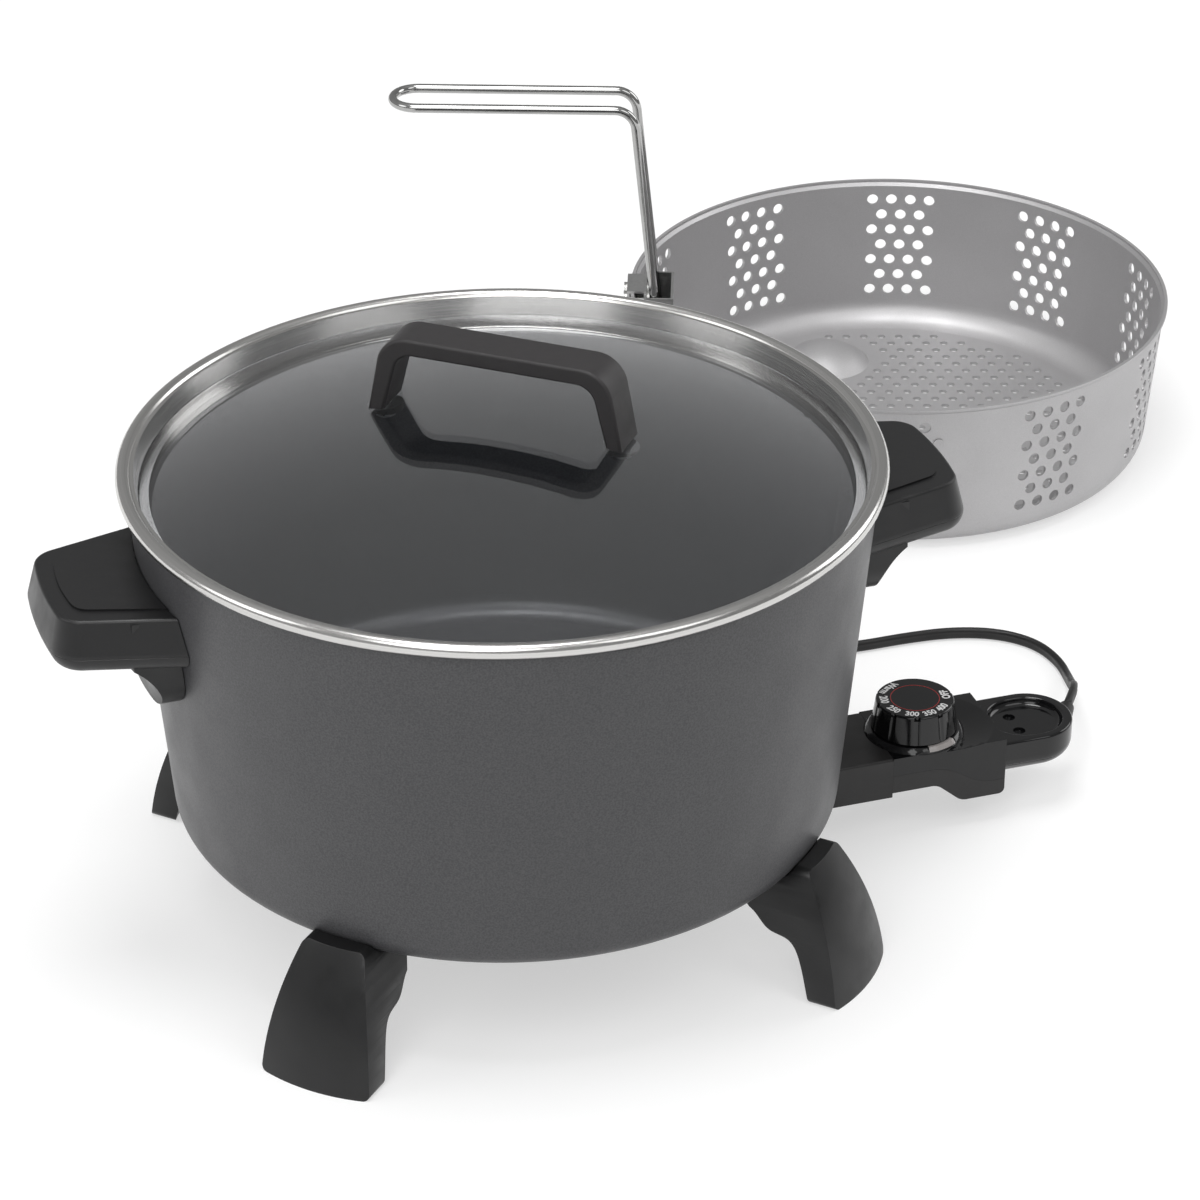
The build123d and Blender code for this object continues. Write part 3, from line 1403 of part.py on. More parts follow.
with BuildPart() as basket:
    with BuildSketch(upright(0, basket_middle)) as half:
        with BuildLine():
            Polyline(
                (0, basket_floor_lift),
                (floor_radius, basket_floor_lift),
                (ring_inner, 0),
                (basket_foot_radius, 0),
                (basket_neck_radius, neck_z),
                (basket_rim_radius, lip_foot_z),
                (basket_rim_radius, basket_height),
                (basket_rim_radius - basket_wall, basket_height),
                (basket_rim_radius - basket_wall, lip_foot_z),
                (basket_neck_radius - basket_wall, neck_z),
                (wall_radius(basket_wall), basket_wall),
                (ring_inner, basket_wall),
                (floor_radius, basket_floor_lift + basket_wall),
                (0, basket_floor_lift + basket_wall),
                close=True,
            )
        make_face()
        fillet(half.vertices().group_by(Axis.Y)[1].sort_by(Axis.X)[-1], basket_corner - basket_wall)
        fillet(half.vertices().group_by(Axis.Y)[0].sort_by(Axis.X)[-1], basket_corner)
    revolve(axis=basket_axis)
    with BuildSketch(Plane(origin=hump_middle)):
        Circle(hump_radius)
    extrude(amount=2 * basket_wall, mode=Mode.SUBTRACT)
    with BuildSketch(upright(0, hump_middle)):
        with BuildLine():
            ThreePointArc(
                (0, hump_height + basket_wall),
                (hump_side, hump_side_z + basket_wall),
                (hump_radius, basket_wall),
            )
            Line((hump_radius, basket_wall), (hump_radius, 0))
            ThreePointArc((hump_radius, 0), (hump_side, hump_side_z), (0, hump_height))
            Line((0, hump_height), (0, hump_height + basket_wall))
        make_face()
    revolve(axis=Axis(hump_middle, (0, 0, 1)))
    with BuildSketch(basket_facing(pip_turn, wall_radius(pip_z) + basket_wall / 2, pip_z)):
        Circle(pip_radius)
    extrude(amount=basket_wall / 2 + pip_rise)
    with BuildSketch(Plane(origin=basket_floor_middle)):
        with Locations(*floor_spots):
            Circle(floor_hole_radius)
    extrude(amount=2 * basket_wall, mode=Mode.SUBTRACT)
    with BuildSketch(*wall_planes):
        Circle(hole_radius)
    extrude(amount=3 * basket_wall, mode=Mode.SUBTRACT)
    with BuildSketch(basket_facing(bracket_turn, bracket_back, rivet_z)):
        with Locations(*rivet_spots):
            Circle(rivet_radius + seat_gap)
    extrude(amount=overrun, mode=Mode.SUBTRACT)
save(basket.part, "basket")

# Basket bracket: a sheet pocket for the handle's wires, hooked over the rim
bracket_out = facing(bracket_turn).z_dir
bracket_foot = basket_middle + Vector(0, 0, bracket_foot_z)
bracket_plan = Plane(origin=bracket_foot, x_dir=bracket_out, z_dir=(0, 0, 1))
bracket_side = upright(bracket_turn, basket_middle)
hook_top_z = basket_height + seat_gap + bracket_sheet
with BuildPart() as basket_bracket:
    with BuildSketch(bracket_plan):
        with Locations(((bracket_back + bracket_front) / 2, 0)):
            Rectangle(bracket_back - bracket_front, 2 * bracket_half)
    extrude(amount=basket_height - bracket_foot_z)
    with BuildSketch(bracket_plan.offset(bracket_sheet)):
        with Locations(((bracket_back + bracket_front) / 2, 0)):
            Rectangle(bracket_back - bracket_front - 2 * bracket_sheet, 2 * (bracket_half - bracket_sheet))
    extrude(amount=basket_height, mode=Mode.SUBTRACT)
    with BuildSketch(bracket_side):
        with BuildLine():
            Polyline(
                (bracket_back - bracket_sheet, basket_height - bracket_sheet),
                (bracket_back, basket_height - bracket_sheet),
                (bracket_back, basket_height + seat_gap),
                (hook_face, basket_height + seat_gap),
                (hook_face, basket_height - bracket_hook_drop),
                (hook_face + bracket_sheet, basket_height - bracket_hook_drop),
                (hook_face + bracket_sheet, hook_top_z),
                (bracket_back - bracket_sheet, hook_top_z),
                close=True,
            )
        make_face()
    extrude(amount=bracket_hook_half, both=True)
    with BuildSketch(basket_facing(bracket_turn, bracket_back - 2 * bracket_sheet, rivet_z)):
        with Locations(*rivet_spots):
            Circle(rivet_radius + seat_gap)
    extrude(amount=overrun, mode=Mode.SUBTRACT)
save(basket_bracket.part, "basket_bracket")

# Basket rivets: two rivets through the pocket, the wall and the hook
rivet_inner = bracket_back - bracket_sheet - seat_gap
rivet_outer = hook_face + bracket_sheet + seat_gap
with BuildPart() as basket_rivets:
    with BuildSketch(basket_facing(bracket_turn, rivet_inner, rivet_z)):
        with Locations(*rivet_spots):
            Circle(rivet_radius)
    extrude(amount=rivet_outer - rivet_inner)
    for face, rise in ((rivet_inner, -rivet_head_height), (rivet_outer, rivet_head_height)):
        with BuildSketch(basket_facing(bracket_turn, face, rivet_z)):
            with Locations(*rivet_spots):
                Circle(rivet_head_radius)
        extrude(amount=rise)
save(basket_rivets.part, "basket_rivets")

# Basket handle: one bent wire whose two legs stand in the bracket
wire_slope = tan(radians(wire_lean))
wire_top_z = basket_height + wire_rise
wire_foot_z = bracket_foot_z + bracket_sheet + 2 * loose_gap
wire_foot_out = bracket_back - wire_set_in
wire_top_out = wire_foot_out + (wire_top_z - wire_foot_z) * wire_slope
wire_end_out = wire_top_out + wire_reach
wire_half = wire_spacing / 2
wire_leg = [(wire_foot_out, wire_foot_z), (wire_top_out, wire_top_z), (wire_end_out, wire_top_z)]
wire_points = [
    *[bracket_side.from_local_coords((out, up, wire_half)) for out, up in wire_leg],
    *[bracket_side.from_local_coords((out, up, -wire_half)) for out, up in reversed(wire_leg)],
]
wire_bends = [wire_bend, wire_half - seat_gap, wire_half - seat_gap, wire_bend]
with BuildPart() as basket_handle:
    with BuildLine() as wire_path:
        FilletPolyline(*wire_points, radius=wire_bends)
    with BuildSketch(Plane(origin=wire_path.line @ 0, z_dir=wire_path.line % 0)):
        Circle(wire_radius)
    sweep()
save(basket_handle.part, "basket_handle")
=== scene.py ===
import math
import bpy
import bmesh
from mathutils import Matrix, Vector


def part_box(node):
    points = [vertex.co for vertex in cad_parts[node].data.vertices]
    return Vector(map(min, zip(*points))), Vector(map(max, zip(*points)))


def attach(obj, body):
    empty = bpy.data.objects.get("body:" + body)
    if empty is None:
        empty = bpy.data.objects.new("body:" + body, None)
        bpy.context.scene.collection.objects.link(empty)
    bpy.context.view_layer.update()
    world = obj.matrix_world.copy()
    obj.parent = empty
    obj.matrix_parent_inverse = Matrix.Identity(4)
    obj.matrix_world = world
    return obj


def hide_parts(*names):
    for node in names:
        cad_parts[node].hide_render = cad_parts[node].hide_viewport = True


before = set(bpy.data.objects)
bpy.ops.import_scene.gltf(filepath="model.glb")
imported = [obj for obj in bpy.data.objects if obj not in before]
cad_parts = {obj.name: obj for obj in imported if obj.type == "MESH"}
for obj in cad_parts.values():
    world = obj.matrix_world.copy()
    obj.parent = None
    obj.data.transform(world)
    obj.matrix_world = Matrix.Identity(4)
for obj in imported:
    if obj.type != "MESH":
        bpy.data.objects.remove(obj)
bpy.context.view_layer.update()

# Pot: a deep drawn aluminium shell, sprayed outside with dark grey metallic
# paint and lined inside with a smooth dark nonstick coat. It carries all the rest.


def colour(red, green, blue):
    """A shader's colour from the red, green and blue of a paint chart, 0 to 255."""
    parts = [level / 255 for level in (red, green, blue)]
    linear = [p / 12.92 if p <= 0.04045 else ((p + 0.055) / 1.055) ** 2.4 for p in parts]
    return (*linear, 1.0)


def new_finish(name, base, roughness, **sockets):
    """A finish with one shader, whose plain settings are set on its own sockets."""
    made = bpy.data.materials.new(name)
    made.use_nodes = True
    shader = made.node_tree.nodes["Principled BSDF"]
    shader.inputs["Base Color"].default_value = base
    shader.inputs["Roughness"].default_value = roughness
    for socket, value in sockets.items():
        shader.inputs[socket.replace("_", " ").title().replace("Ior", "IOR")].default_value = value
    return made


def add(finish, kind, sockets, **settings):
    """Put a node into a finish, with each socket set to a value or fed by another node."""
    node = finish.node_tree.nodes.new("ShaderNode" + kind)
    for name, value in settings.items():
        setattr(node, name, value)
    for socket, value in sockets.items():
        if isinstance(value, bpy.types.NodeSocket):
            finish.node_tree.links.new(value, node.inputs[socket])
        else:
            node.inputs[socket].default_value = value
    return node


def feed(finish, socket, source):
    """Let a node drive one socket of a finish's shader."""
    shader = finish.node_tree.nodes["Principled BSDF"]
    finish.node_tree.links.new(source, shader.inputs[socket])


def place_of(finish):
    """The point on the object, in metres."""
    return add(finish, "TexCoord", {}).outputs["Object"]


def measures(finish, place):
    """A point's three measures: along, across and up."""
    return tuple(add(finish, "SeparateXYZ", {0: place}).outputs)


def from_axis(finish, along, across):
    """How far a point lies from the upright axis that it is measured from."""
    level = add(finish, "CombineXYZ", {0: along, 1: across}).outputs[0]
    return add(finish, "VectorMath", {0: level}, operation="LENGTH").outputs["Value"]


def grain(finish, size, detail=2.0, place=None):
    """Cloudy grain of about one size, in metres, from 0 to 1."""
    spot = place or place_of(finish)
    return add(finish, "TexNoise", {"Vector": spot, "Scale": 1 / size, "Detail": detail}).outputs["Fac"]


def calc(finish, operation, first, second=0.0):
    """One sum on two values."""
    return add(finish, "Math", {0: first, 1: second}, operation=operation).outputs[0]


def spread(finish, source, low, high, start=0.35, end=0.65):
    """Stretch the part of a grain between start and end to a range of values."""
    limits = {"Value": source, "From Min": start, "From Max": end, "To Min": low, "To Max": high}
    return add(finish, "MapRange", limits).outputs["Result"]


def mix_colours(finish, share, first, second):
    """Go from a first to a second colour by a share from 0 to 1."""
    return add(finish, "Mix", {0: share, 6: first, 7: second}, data_type="RGBA").outputs[2]


def tone(finish, share, first, second):
    """Let a finish's colour go from a first to a second by a share from 0 to 1."""
    feed(finish, "Base Color", mix_colours(finish, share, first, second))


def relief(finish, height, depth):
    """Raise the surface by a grain, to a depth in metres."""
    bump = add(finish, "Bump", {"Height": height, "Distance": depth, "Strength": 1.0})
    feed(finish, "Normal", bump.outputs["Normal"])


def dress(finish, *nodes):
    """Give CAD nodes their finish."""
    for name in nodes:
        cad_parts[name].material_slots[0].material = finish


wall_foot_z = 0.048
wall_foot_radius = 0.1334
wall_slope = 0.0903
half_wall = 0.0015
floor_z = 0.0525
flake_size = 0.0007
flake_depth = 0.00001
spray_cloud = 0.02
lining_shine = 0.1

pot_paint = new_finish("pot_paint", colour(74, 74, 76), 0.42)
pot_place = place_of(pot_paint)
pot_x, pot_y, pot_z = measures(pot_paint, pot_place)
wall_rise = calc(pot_paint, "MULTIPLY", calc(pot_paint, "SUBTRACT", pot_z, wall_foot_z), wall_slope)
wall_middle = calc(pot_paint, "ADD", wall_rise, wall_foot_radius - half_wall)
within_wall = calc(pot_paint, "LESS_THAN", from_axis(pot_paint, pot_x, pot_y), wall_middle)
above_floor = calc(pot_paint, "GREATER_THAN", pot_z, floor_z)
lined = calc(pot_paint, "MULTIPLY", within_wall, above_floor)
flake = spread(pot_paint, grain(pot_paint, flake_size, detail=3.0, place=pot_place), 0.0, 1.0)
paint = mix_colours(pot_paint, flake, colour(65, 65, 67), colour(83, 83, 85))
lining = mix_colours(pot_paint, flake, colour(44, 45, 47), colour(58, 59, 61))
tone(pot_paint, lined, paint, lining)
satin = spread(pot_paint, grain(pot_paint, spray_cloud, detail=3.0, place=pot_place), 0.39, 0.46)
shine = calc(pot_paint, "MULTIPLY", lined, lining_shine)
feed(pot_paint, "Roughness", calc(pot_paint, "SUBTRACT", satin, shine))
relief(pot_paint, flake, flake_depth)
dress(pot_paint, "pot")

# Heating rod: a steel sheath with the heating wire inside, bent to a ring under the
# pot's base, its ends turned out and down. Heat has stained it brown in patches.

stain_size = 0.03
scale_size = 0.002

element_steel = new_finish("element_steel", colour(120, 116, 112), 0.5, metallic=1.0)
stain = spread(element_steel, grain(element_steel, stain_size, detail=4.0), 0.0, 1.0)
tone(element_steel, stain, colour(98, 90, 86), colour(150, 145, 140))
feed(element_steel, "Roughness", spread(element_steel, grain(element_steel, scale_size), 0.42, 0.6))
dress(element_steel, "heating_element")

# Probe rib: a cast aluminium rib under the base, bored along its length for the heat
# control's probe and left as it came from the mould.

cast_pit_size = 0.0012
cast_pit_depth = 0.00012

cast_metal = new_finish("cast_metal", colour(170, 170, 170), 0.55, metallic=1.0)
pits = grain(cast_metal, cast_pit_size, detail=4.0)
tone(cast_metal, pits, colour(150, 150, 150), colour(188, 188, 187))
relief(cast_metal, pits, cast_pit_depth)
dress(cast_metal, "probe_well")

# Terminals: two steel pins on the rod's cold ends, in ceramic beads, inside a hood of
# folded sheet steel that two plated screws hold to the base.


def bare_metal(name, dark, light, roughness, size, detail=3.0):
    """A bare metal whose colour and polish change together by a fine grain."""
    smooth, dull = roughness
    made = new_finish(name, dark, smooth, metallic=1.0)
    haze = grain(made, size, detail)
    tone(made, haze, dark, light)
    feed(made, "Roughness", spread(made, haze, smooth, dull))
    return made


sheet_steel = bare_metal(
    "sheet_steel", colour(172, 172, 172), colour(206, 206, 205),
    roughness=(0.3, 0.46), size=0.0015,
)
dress(sheet_steel, "terminal_pins", "terminal_guard")

zinc_plate = bare_metal(
    "zinc_plate", colour(160, 163, 166), colour(196, 197, 196),
    roughness=(0.26, 0.42), size=0.002,
)
dress(zinc_plate, "guard_screws")

clay_size = 0.0008
clay_depth = 0.00005

bead_clay = new_finish("bead_clay", colour(226, 222, 212), 0.7)
clay = grain(bead_clay, clay_size, detail=4.0)
tone(bead_clay, clay, colour(212, 206, 194), colour(234, 231, 222))
relief(bead_clay, clay, clay_depth)
dress(bead_clay, "terminal_insulators")

# Legs: four moulded legs of black heat-proof plastic, satin from a spark-eroded
# mould, each screwed from below to a stud under the base.

weld_gap = 0.000002
sharp_angle = math.radians(32)
round_steps = 2
polish_cloud = 0.012


def polish(finish, smooth, dull):
    """Roughness of a moulded face, which changes slowly from smooth to dull."""
    return spread(finish, grain(finish, polish_cloud, detail=3.0), smooth, dull)


def moulded(name, dark, light, roughness, texture, depth=0.0):
    """A moulded plastic with the fine even texture of its mould, raised to a depth if it has one."""
    made = new_finish(name, dark, roughness[0])
    skin = grain(made, texture)
    tone(made, skin, dark, light)
    feed(made, "Roughness", polish(made, *roughness))
    if depth:
        relief(made, skin, depth)
    return made


def soften(width, *nodes):
    """Round the sharp edges of CAD nodes by a small width, as a mould does."""
    for name in nodes:
        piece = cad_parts[name]
        weld = piece.modifiers.new("weld", "WELD")
        weld.merge_threshold = weld_gap
        bevel = piece.modifiers.new("soft_edges", "BEVEL")
        bevel.width = width
        bevel.segments = round_steps
        bevel.limit_method = "ANGLE"
        bevel.angle_limit = sharp_angle
        bevel.harden_normals = True


legs = ("leg_front_left", "leg_front_right", "leg_back_left", "leg_back_right")
leg_edge = 0.0012

leg_plastic = moulded(
    "leg_plastic", colour(12, 12, 13), colour(20, 20, 21),
    roughness=(0.34, 0.44), texture=0.0006, depth=0.00002,
)
dress(leg_plastic, *legs)
soften(leg_edge, *legs)
dress(cast_metal, "leg_studs")
dress(zinc_plate, "leg_screws")

# Side handles: two moulded handles of the same black plastic, with an inset panel on
# top and a fine crease round the side, held to the pot's studs by two screws each.


def off_line(finish, height, line_z, half):
    """0 on a level line round a piece, rising to 1 at half the line's width."""
    away = calc(finish, "ABSOLUTE", calc(finish, "SUBTRACT", height, line_z))
    return spread(finish, away, 0.0, 1.0, 0.0, half)


crease_z = 0.1563
crease_half = 0.00022
crease_depth = 0.0003

handle_plastic = moulded(
    "handle_plastic", colour(16, 16, 17), colour(26, 26, 27),
    roughness=(0.36, 0.46), texture=0.0006,
)
handle_z = measures(handle_plastic, place_of(handle_plastic))[2]
relief(handle_plastic, off_line(handle_plastic, handle_z, crease_z, crease_half), crease_depth)
dress(handle_plastic, "handle_left", "handle_right")
dress(cast_metal, "handle_studs")
black_screw = moulded(
    "black_screw", colour(30, 30, 31), colour(44, 44, 44),
    roughness=(0.4, 0.55), texture=0.0008, depth=0.00002,
)
dress(black_screw, "handle_screws")

# Lid glass: a clear pane of tempered glass, pressed to a low dome and drilled for the
# handle's two screws. Light passes straight through it to the pot.

glass_tint = colour(240, 241, 243)

clear_glass = new_finish("clear_glass", glass_tint, 0.0, transmission_weight=1.0, ior=1.47)
glass_nodes = clear_glass.node_tree.nodes
glass_ray = add(clear_glass, "LightPath", {}).outputs
passing = calc(clear_glass, "MAXIMUM", glass_ray["Is Shadow Ray"], glass_ray["Is Diffuse Ray"])
see_through = add(clear_glass, "BsdfTransparent", {"Color": glass_tint}).outputs[0]
solid_glass = glass_nodes["Principled BSDF"].outputs[0]
pane = add(clear_glass, "MixShader", {0: passing, 1: solid_glass, 2: see_through}).outputs[0]
clear_glass.node_tree.links.new(pane, glass_nodes["Material Output"].inputs["Surface"])
dress(clear_glass, "lid_glass")

# Lid rim: a band of stainless steel rolled over the glass's edge, with a wall that
# drops into the pot's mouth. Fine lines run round it from the polishing wheel.

line_size = 0.0003
line_depth = 0.000001

rim_steel = new_finish("rim_steel", colour(206, 205, 203), 0.2, metallic=1.0)
rim_x, rim_y, rim_z = measures(rim_steel, place_of(rim_steel))
rim_round = add(rim_steel, "CombineXYZ", {0: from_axis(rim_steel, rim_x, rim_y), 1: rim_z}).outputs[0]
lines = grain(rim_steel, line_size, detail=3.0, place=rim_round)
tone(rim_steel, lines, colour(190, 189, 187), colour(220, 219, 217))
feed(rim_steel, "Roughness", spread(rim_steel, lines, 0.16, 0.26))
relief(rim_steel, lines, line_depth)
dress(rim_steel, "lid_rim")

# Lid handle: an arch of matte plastic on the crown of the glass, held by two plated
# screws from below, with soft rubber washers between their heads and the glass.

lid_handle_edge = 0.0006

lid_grip = moulded(
    "lid_grip", colour(38, 36, 37), colour(48, 46, 47),
    roughness=(0.5, 0.6), texture=0.0005, depth=0.00003,
)
dress(lid_grip, "lid_handle")
soften(lid_handle_edge, "lid_handle")
washer_rubber = moulded(
    "washer_rubber", colour(34, 34, 34), colour(48, 48, 47),
    roughness=(0.65, 0.8), texture=0.001, depth=0.00004,
)
dress(washer_rubber, "lid_washers")
dress(zinc_plate, "lid_screws")

# Heat control's nose and lower shell: a block of heat-proof plastic that plugs onto
# the pins, and a satin shell behind it that three screws draw up to the upper one.

control_edge = 0.0005

nose_plastic = moulded(
    "nose_plastic", colour(26, 25, 25), colour(36, 35, 35),
    roughness=(0.4, 0.5), texture=0.0006, depth=0.00002,
)
dress(nose_plastic, "control_nose")
shell_satin = moulded(
    "shell_satin", colour(22, 21, 21), colour(32, 31, 31),
    roughness=(0.34, 0.44), texture=0.0007, depth=0.00002,
)
dress(shell_satin, "control_bottom")
soften(control_edge, "control_nose", "control_bottom")
dress(zinc_plate, "control_screws")

# Heat control's upper shell: a moulding polished on its top and satin on its sides,
# with a fine seam round the hood at its tail.

satin_from_y = 0.0198
satin_dulling = 0.3
hood_root_x = 0.2116
seam_z = 0.0252
seam_half = 0.00025
seam_depth = 0.0003
shell_polish = (0.06, 0.12)

shell_gloss = moulded(
    "shell_gloss", colour(14, 14, 15), colour(20, 20, 21),
    roughness=shell_polish, texture=0.004,
)
shell_x, shell_y, shell_z = measures(shell_gloss, place_of(shell_gloss))
on_side = calc(shell_gloss, "GREATER_THAN", calc(shell_gloss, "ABSOLUTE", shell_y), satin_from_y)
side_dulling = calc(shell_gloss, "MULTIPLY", on_side, satin_dulling)
feed(shell_gloss, "Roughness", calc(shell_gloss, "ADD", polish(shell_gloss, *shell_polish), side_dulling))
off_seam = off_line(shell_gloss, shell_z, seam_z, seam_half)
off_hood = calc(shell_gloss, "LESS_THAN", shell_x, hood_root_x)
relief(shell_gloss, calc(shell_gloss, "MAXIMUM", off_seam, off_hood), seam_depth)
dress(shell_gloss, "control_top")
soften(control_edge, "control_top")

# Pilot lens: a curved window of pale plastic, let into the collar round the dial on
# the side that faces the cook.

lens_pale = moulded(
    "lens_pale", colour(150, 145, 143), colour(172, 167, 165),
    roughness=(0.1, 0.18), texture=0.002, depth=0.000005,
)
dress(lens_pale, "pilot_lens")

# Inside of the heat control: a steel probe that reads the pot's heat, two brass
# sleeves that grip the pins, and a switch block of brown resin.

dress(sheet_steel, "probe")
brass = bare_metal(
    "brass", colour(182, 146, 84), colour(222, 190, 122),
    roughness=(0.24, 0.4), size=0.003, detail=4.0,
)
dress(brass, "socket_contacts")
switch_resin = moulded(
    "switch_resin", colour(96, 66, 46), colour(116, 82, 58),
    roughness=(0.45, 0.6), texture=0.001, depth=0.00003,
)
dress(switch_resin, "thermostat")

# Dial: a hollow glossy knob with shallow flutes down its side, pressed on the plated
# spindle of the switch.

dial_low, dial_high = (Vector(corner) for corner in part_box("dial"))
dial_middle = (dial_low + dial_high) / 2
dial_top = dial_high.z
flutes = 10
flute_depth = 0.0004
flute_edge = 0.7
flat_top = 0.0155

dial_gloss = moulded(
    "dial_gloss", colour(16, 16, 17), colour(20, 20, 21),
    roughness=(0.1, 0.18), texture=0.003,
)
dial_place = add(
    dial_gloss, "VectorMath", {0: place_of(dial_gloss), 1: dial_middle}, operation="SUBTRACT"
).outputs[0]
dial_x, dial_y = measures(dial_gloss, dial_place)[:2]
dial_angle = calc(dial_gloss, "ARCTAN2", dial_y, dial_x)
wave = calc(dial_gloss, "COSINE", calc(dial_gloss, "MULTIPLY", dial_angle, flutes))
off_flute = spread(dial_gloss, wave, 1.0, 0.0, flute_edge, 1.0)
on_top = calc(dial_gloss, "LESS_THAN", from_axis(dial_gloss, dial_x, dial_y), flat_top)
relief(dial_gloss, calc(dial_gloss, "MAXIMUM", off_flute, on_top), flute_depth)
dress(dial_gloss, "dial")
dress(zinc_plate, "dial_shaft")

# Dial's settings: the heats and two plain words, printed in white ink round the flat
# top of the dial, each with its foot to the rim. The places are degrees about the spindle.

ink_thickness = 0.00006
stroke_gain = 0.035
figures_width = 0.0057
figures_stretch = 1.2
settings_reach = 0.0131
settings = {"OFF": -6, "400": -53, "350": -84, "300": -117, "250": -154, "200": -192, "Warm": -234}


def letters(words):
    """The words as a flat mesh, centred, in letters of the font's own size."""
    curve = bpy.data.curves.new(words, "FONT")
    curve.body = words
    curve.align_x = "CENTER"
    curve.align_y = "CENTER"
    curve.offset = stroke_gain
    text = bpy.data.objects.new(words, curve)
    mesh = bpy.data.meshes.new_from_object(text)
    bpy.data.objects.remove(text)
    return mesh


def show(name, built, finish):
    """Make a built mesh into a piece of the scene with one finish."""
    mesh = bpy.data.meshes.new(name)
    built.to_mesh(mesh)
    mesh.materials.append(finish)
    piece = bpy.data.objects.new(name, mesh)
    bpy.context.collection.objects.link(piece)
    return piece


figures = [vertex.co.x for vertex in letters("300").vertices]
letter_size = figures_width / (max(figures) - min(figures))
printed = bmesh.new()
for words, degrees in settings.items():
    word_mesh = letters(words)
    word_mesh.transform(Matrix.Diagonal((letter_size, letter_size * figures_stretch, 1, 1)))
    angle = math.radians(degrees)
    spot = dial_middle + Vector((math.cos(angle), math.sin(angle), 0)) * settings_reach
    spot.z = dial_top + ink_thickness
    word_mesh.transform(Matrix.Translation(spot) @ Matrix.Rotation(angle + math.pi / 2, 4, "Z"))
    printed.from_mesh(word_mesh)
white_ink = moulded(
    "white_ink", colour(248, 248, 248), colour(254, 254, 254),
    roughness=(0.4, 0.5), texture=0.001, depth=0.000002,
)
dial_numbers = show("dial_numbers", printed, white_ink)
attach(dial_numbers, "dial")

# Dial's ring: a thin line of red ink on the dial's top, inside the settings and
# printed with them.

ring_radius = 0.0102
ring_width = 0.00035
ring_steps = 96
ring_inside = ring_radius - ring_width / 2
ring_outside = ring_radius + ring_width / 2
ring_top = dial_top + ink_thickness
ring_section = [
    (ring_inside, dial_top),
    (ring_outside, dial_top),
    (ring_outside, ring_top),
    (ring_inside, ring_top),
]


def skin_between(built, here, there):
    """Close the skin of a tube or ring between two of its sections."""
    for side in range(len(here)):
        after = (side + 1) % len(here)
        built.faces.new((here[side], there[side], there[after], here[after]))


upright = Vector((0, 0, 1))
ring_axis = Vector((dial_middle.x, dial_middle.y, 0))
ring = bmesh.new()
ring_corners = []
for step in range(ring_steps):
    angle = 2 * math.pi * step / ring_steps
    way = Vector((math.cos(angle), math.sin(angle), 0))
    ring_corners.append([ring.verts.new(ring_axis + way * reach + upright * z) for reach, z in ring_section])
for step in range(ring_steps):
    skin_between(ring, ring_corners[step], ring_corners[(step + 1) % ring_steps])
bmesh.ops.recalc_face_normals(ring, faces=ring.faces)
red_ink = moulded(
    "red_ink", colour(160, 44, 44), colour(182, 58, 56),
    roughness=(0.4, 0.5), texture=0.001, depth=0.000002,
)
dial_ring = show("dial_ring", ring, red_ink)
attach(dial_ring, "dial")

# Lead: a flat twin cord of black rubber, moulded into a bush on the control at one
# end and into a two-blade plug at the other. Its spare length is coiled behind the pot.

cord_width = 0.0054
cord_thickness = 0.0040
groove_depth_share = 0.30
groove_half_share = 0.32
cord_sides = 20
cord_exit = (0.25329, 0.01248, 0.0286)
cord_route = [
    cord_exit,
    (0.26140, 0.02365, 0.0286),
    (0.2685, 0.038, 0.0218),
    (0.275, 0.053, 0.012),
    (0.281, 0.070, 0.005),
    (0.2845, 0.088, 0.003),
    (0.281, 0.106, 0.003),
    (0.268, 0.120, 0.003),
    (0.248, 0.1275, 0.003),
    (0.226, 0.129, 0.003),
    (0.204, 0.1285, 0.003),
    (0.180, 0.1315, 0.003),
    (0.155, 0.1405, 0.003),
    (0.130, 0.1525, 0.003),
    (0.104, 0.1635, 0.003),
    (0.078, 0.170, 0.0032),
    (0.0504, 0.1710, 0.0037),
    (0.0354, 0.1716, 0.0037),
]
coil_middle = Vector((0.020, 0.205, 0.0))
coil_inner = 0.026
coil_spread = 0.007
coil_low_z = 0.0037
coil_layer = 0.0059
coil_turns = 2.5
coil_steps = 40
low_turns = 1.0
climb_turns = 0.5
for step in range(coil_steps + 1):
    turns = coil_turns * step / coil_steps
    outward = max(low_turns - turns, 0) + max(turns - low_turns - climb_turns, 0)
    reach = coil_inner + coil_spread * outward
    angle = math.radians(-90 - 360 * turns)
    climb = min(max((turns - low_turns) / climb_turns, 0), 1)
    height = coil_low_z + coil_layer * climb * climb * (3 - 2 * climb)
    way = Vector((math.cos(angle), math.sin(angle), 0)) * reach
    cord_route.append(tuple(coil_middle + way + upright * height))
plug_heading = Vector((0.9994, 0.0337, 0))
tail_length = 0.015
coil_end = Vector(cord_route[-1])
cord_route += [tuple(coil_end + plug_heading * tail_length * share) for share in (0.5, 1.0)]

route = bpy.data.curves.new("cord_route", "CURVE")
route.dimensions = "3D"
line = route.splines.new("NURBS")
line.points.add(len(cord_route) - 1)
for point, spot in zip(line.points, cord_route):
    point.co = (*spot, 1.0)
line.order_u = 3
line.use_endpoint_u = True
line.resolution_u = 6
route_object = bpy.data.objects.new("cord_route", route)
followed = [vertex.co.copy() for vertex in bpy.data.meshes.new_from_object(route_object).vertices]
bpy.data.objects.remove(route_object)

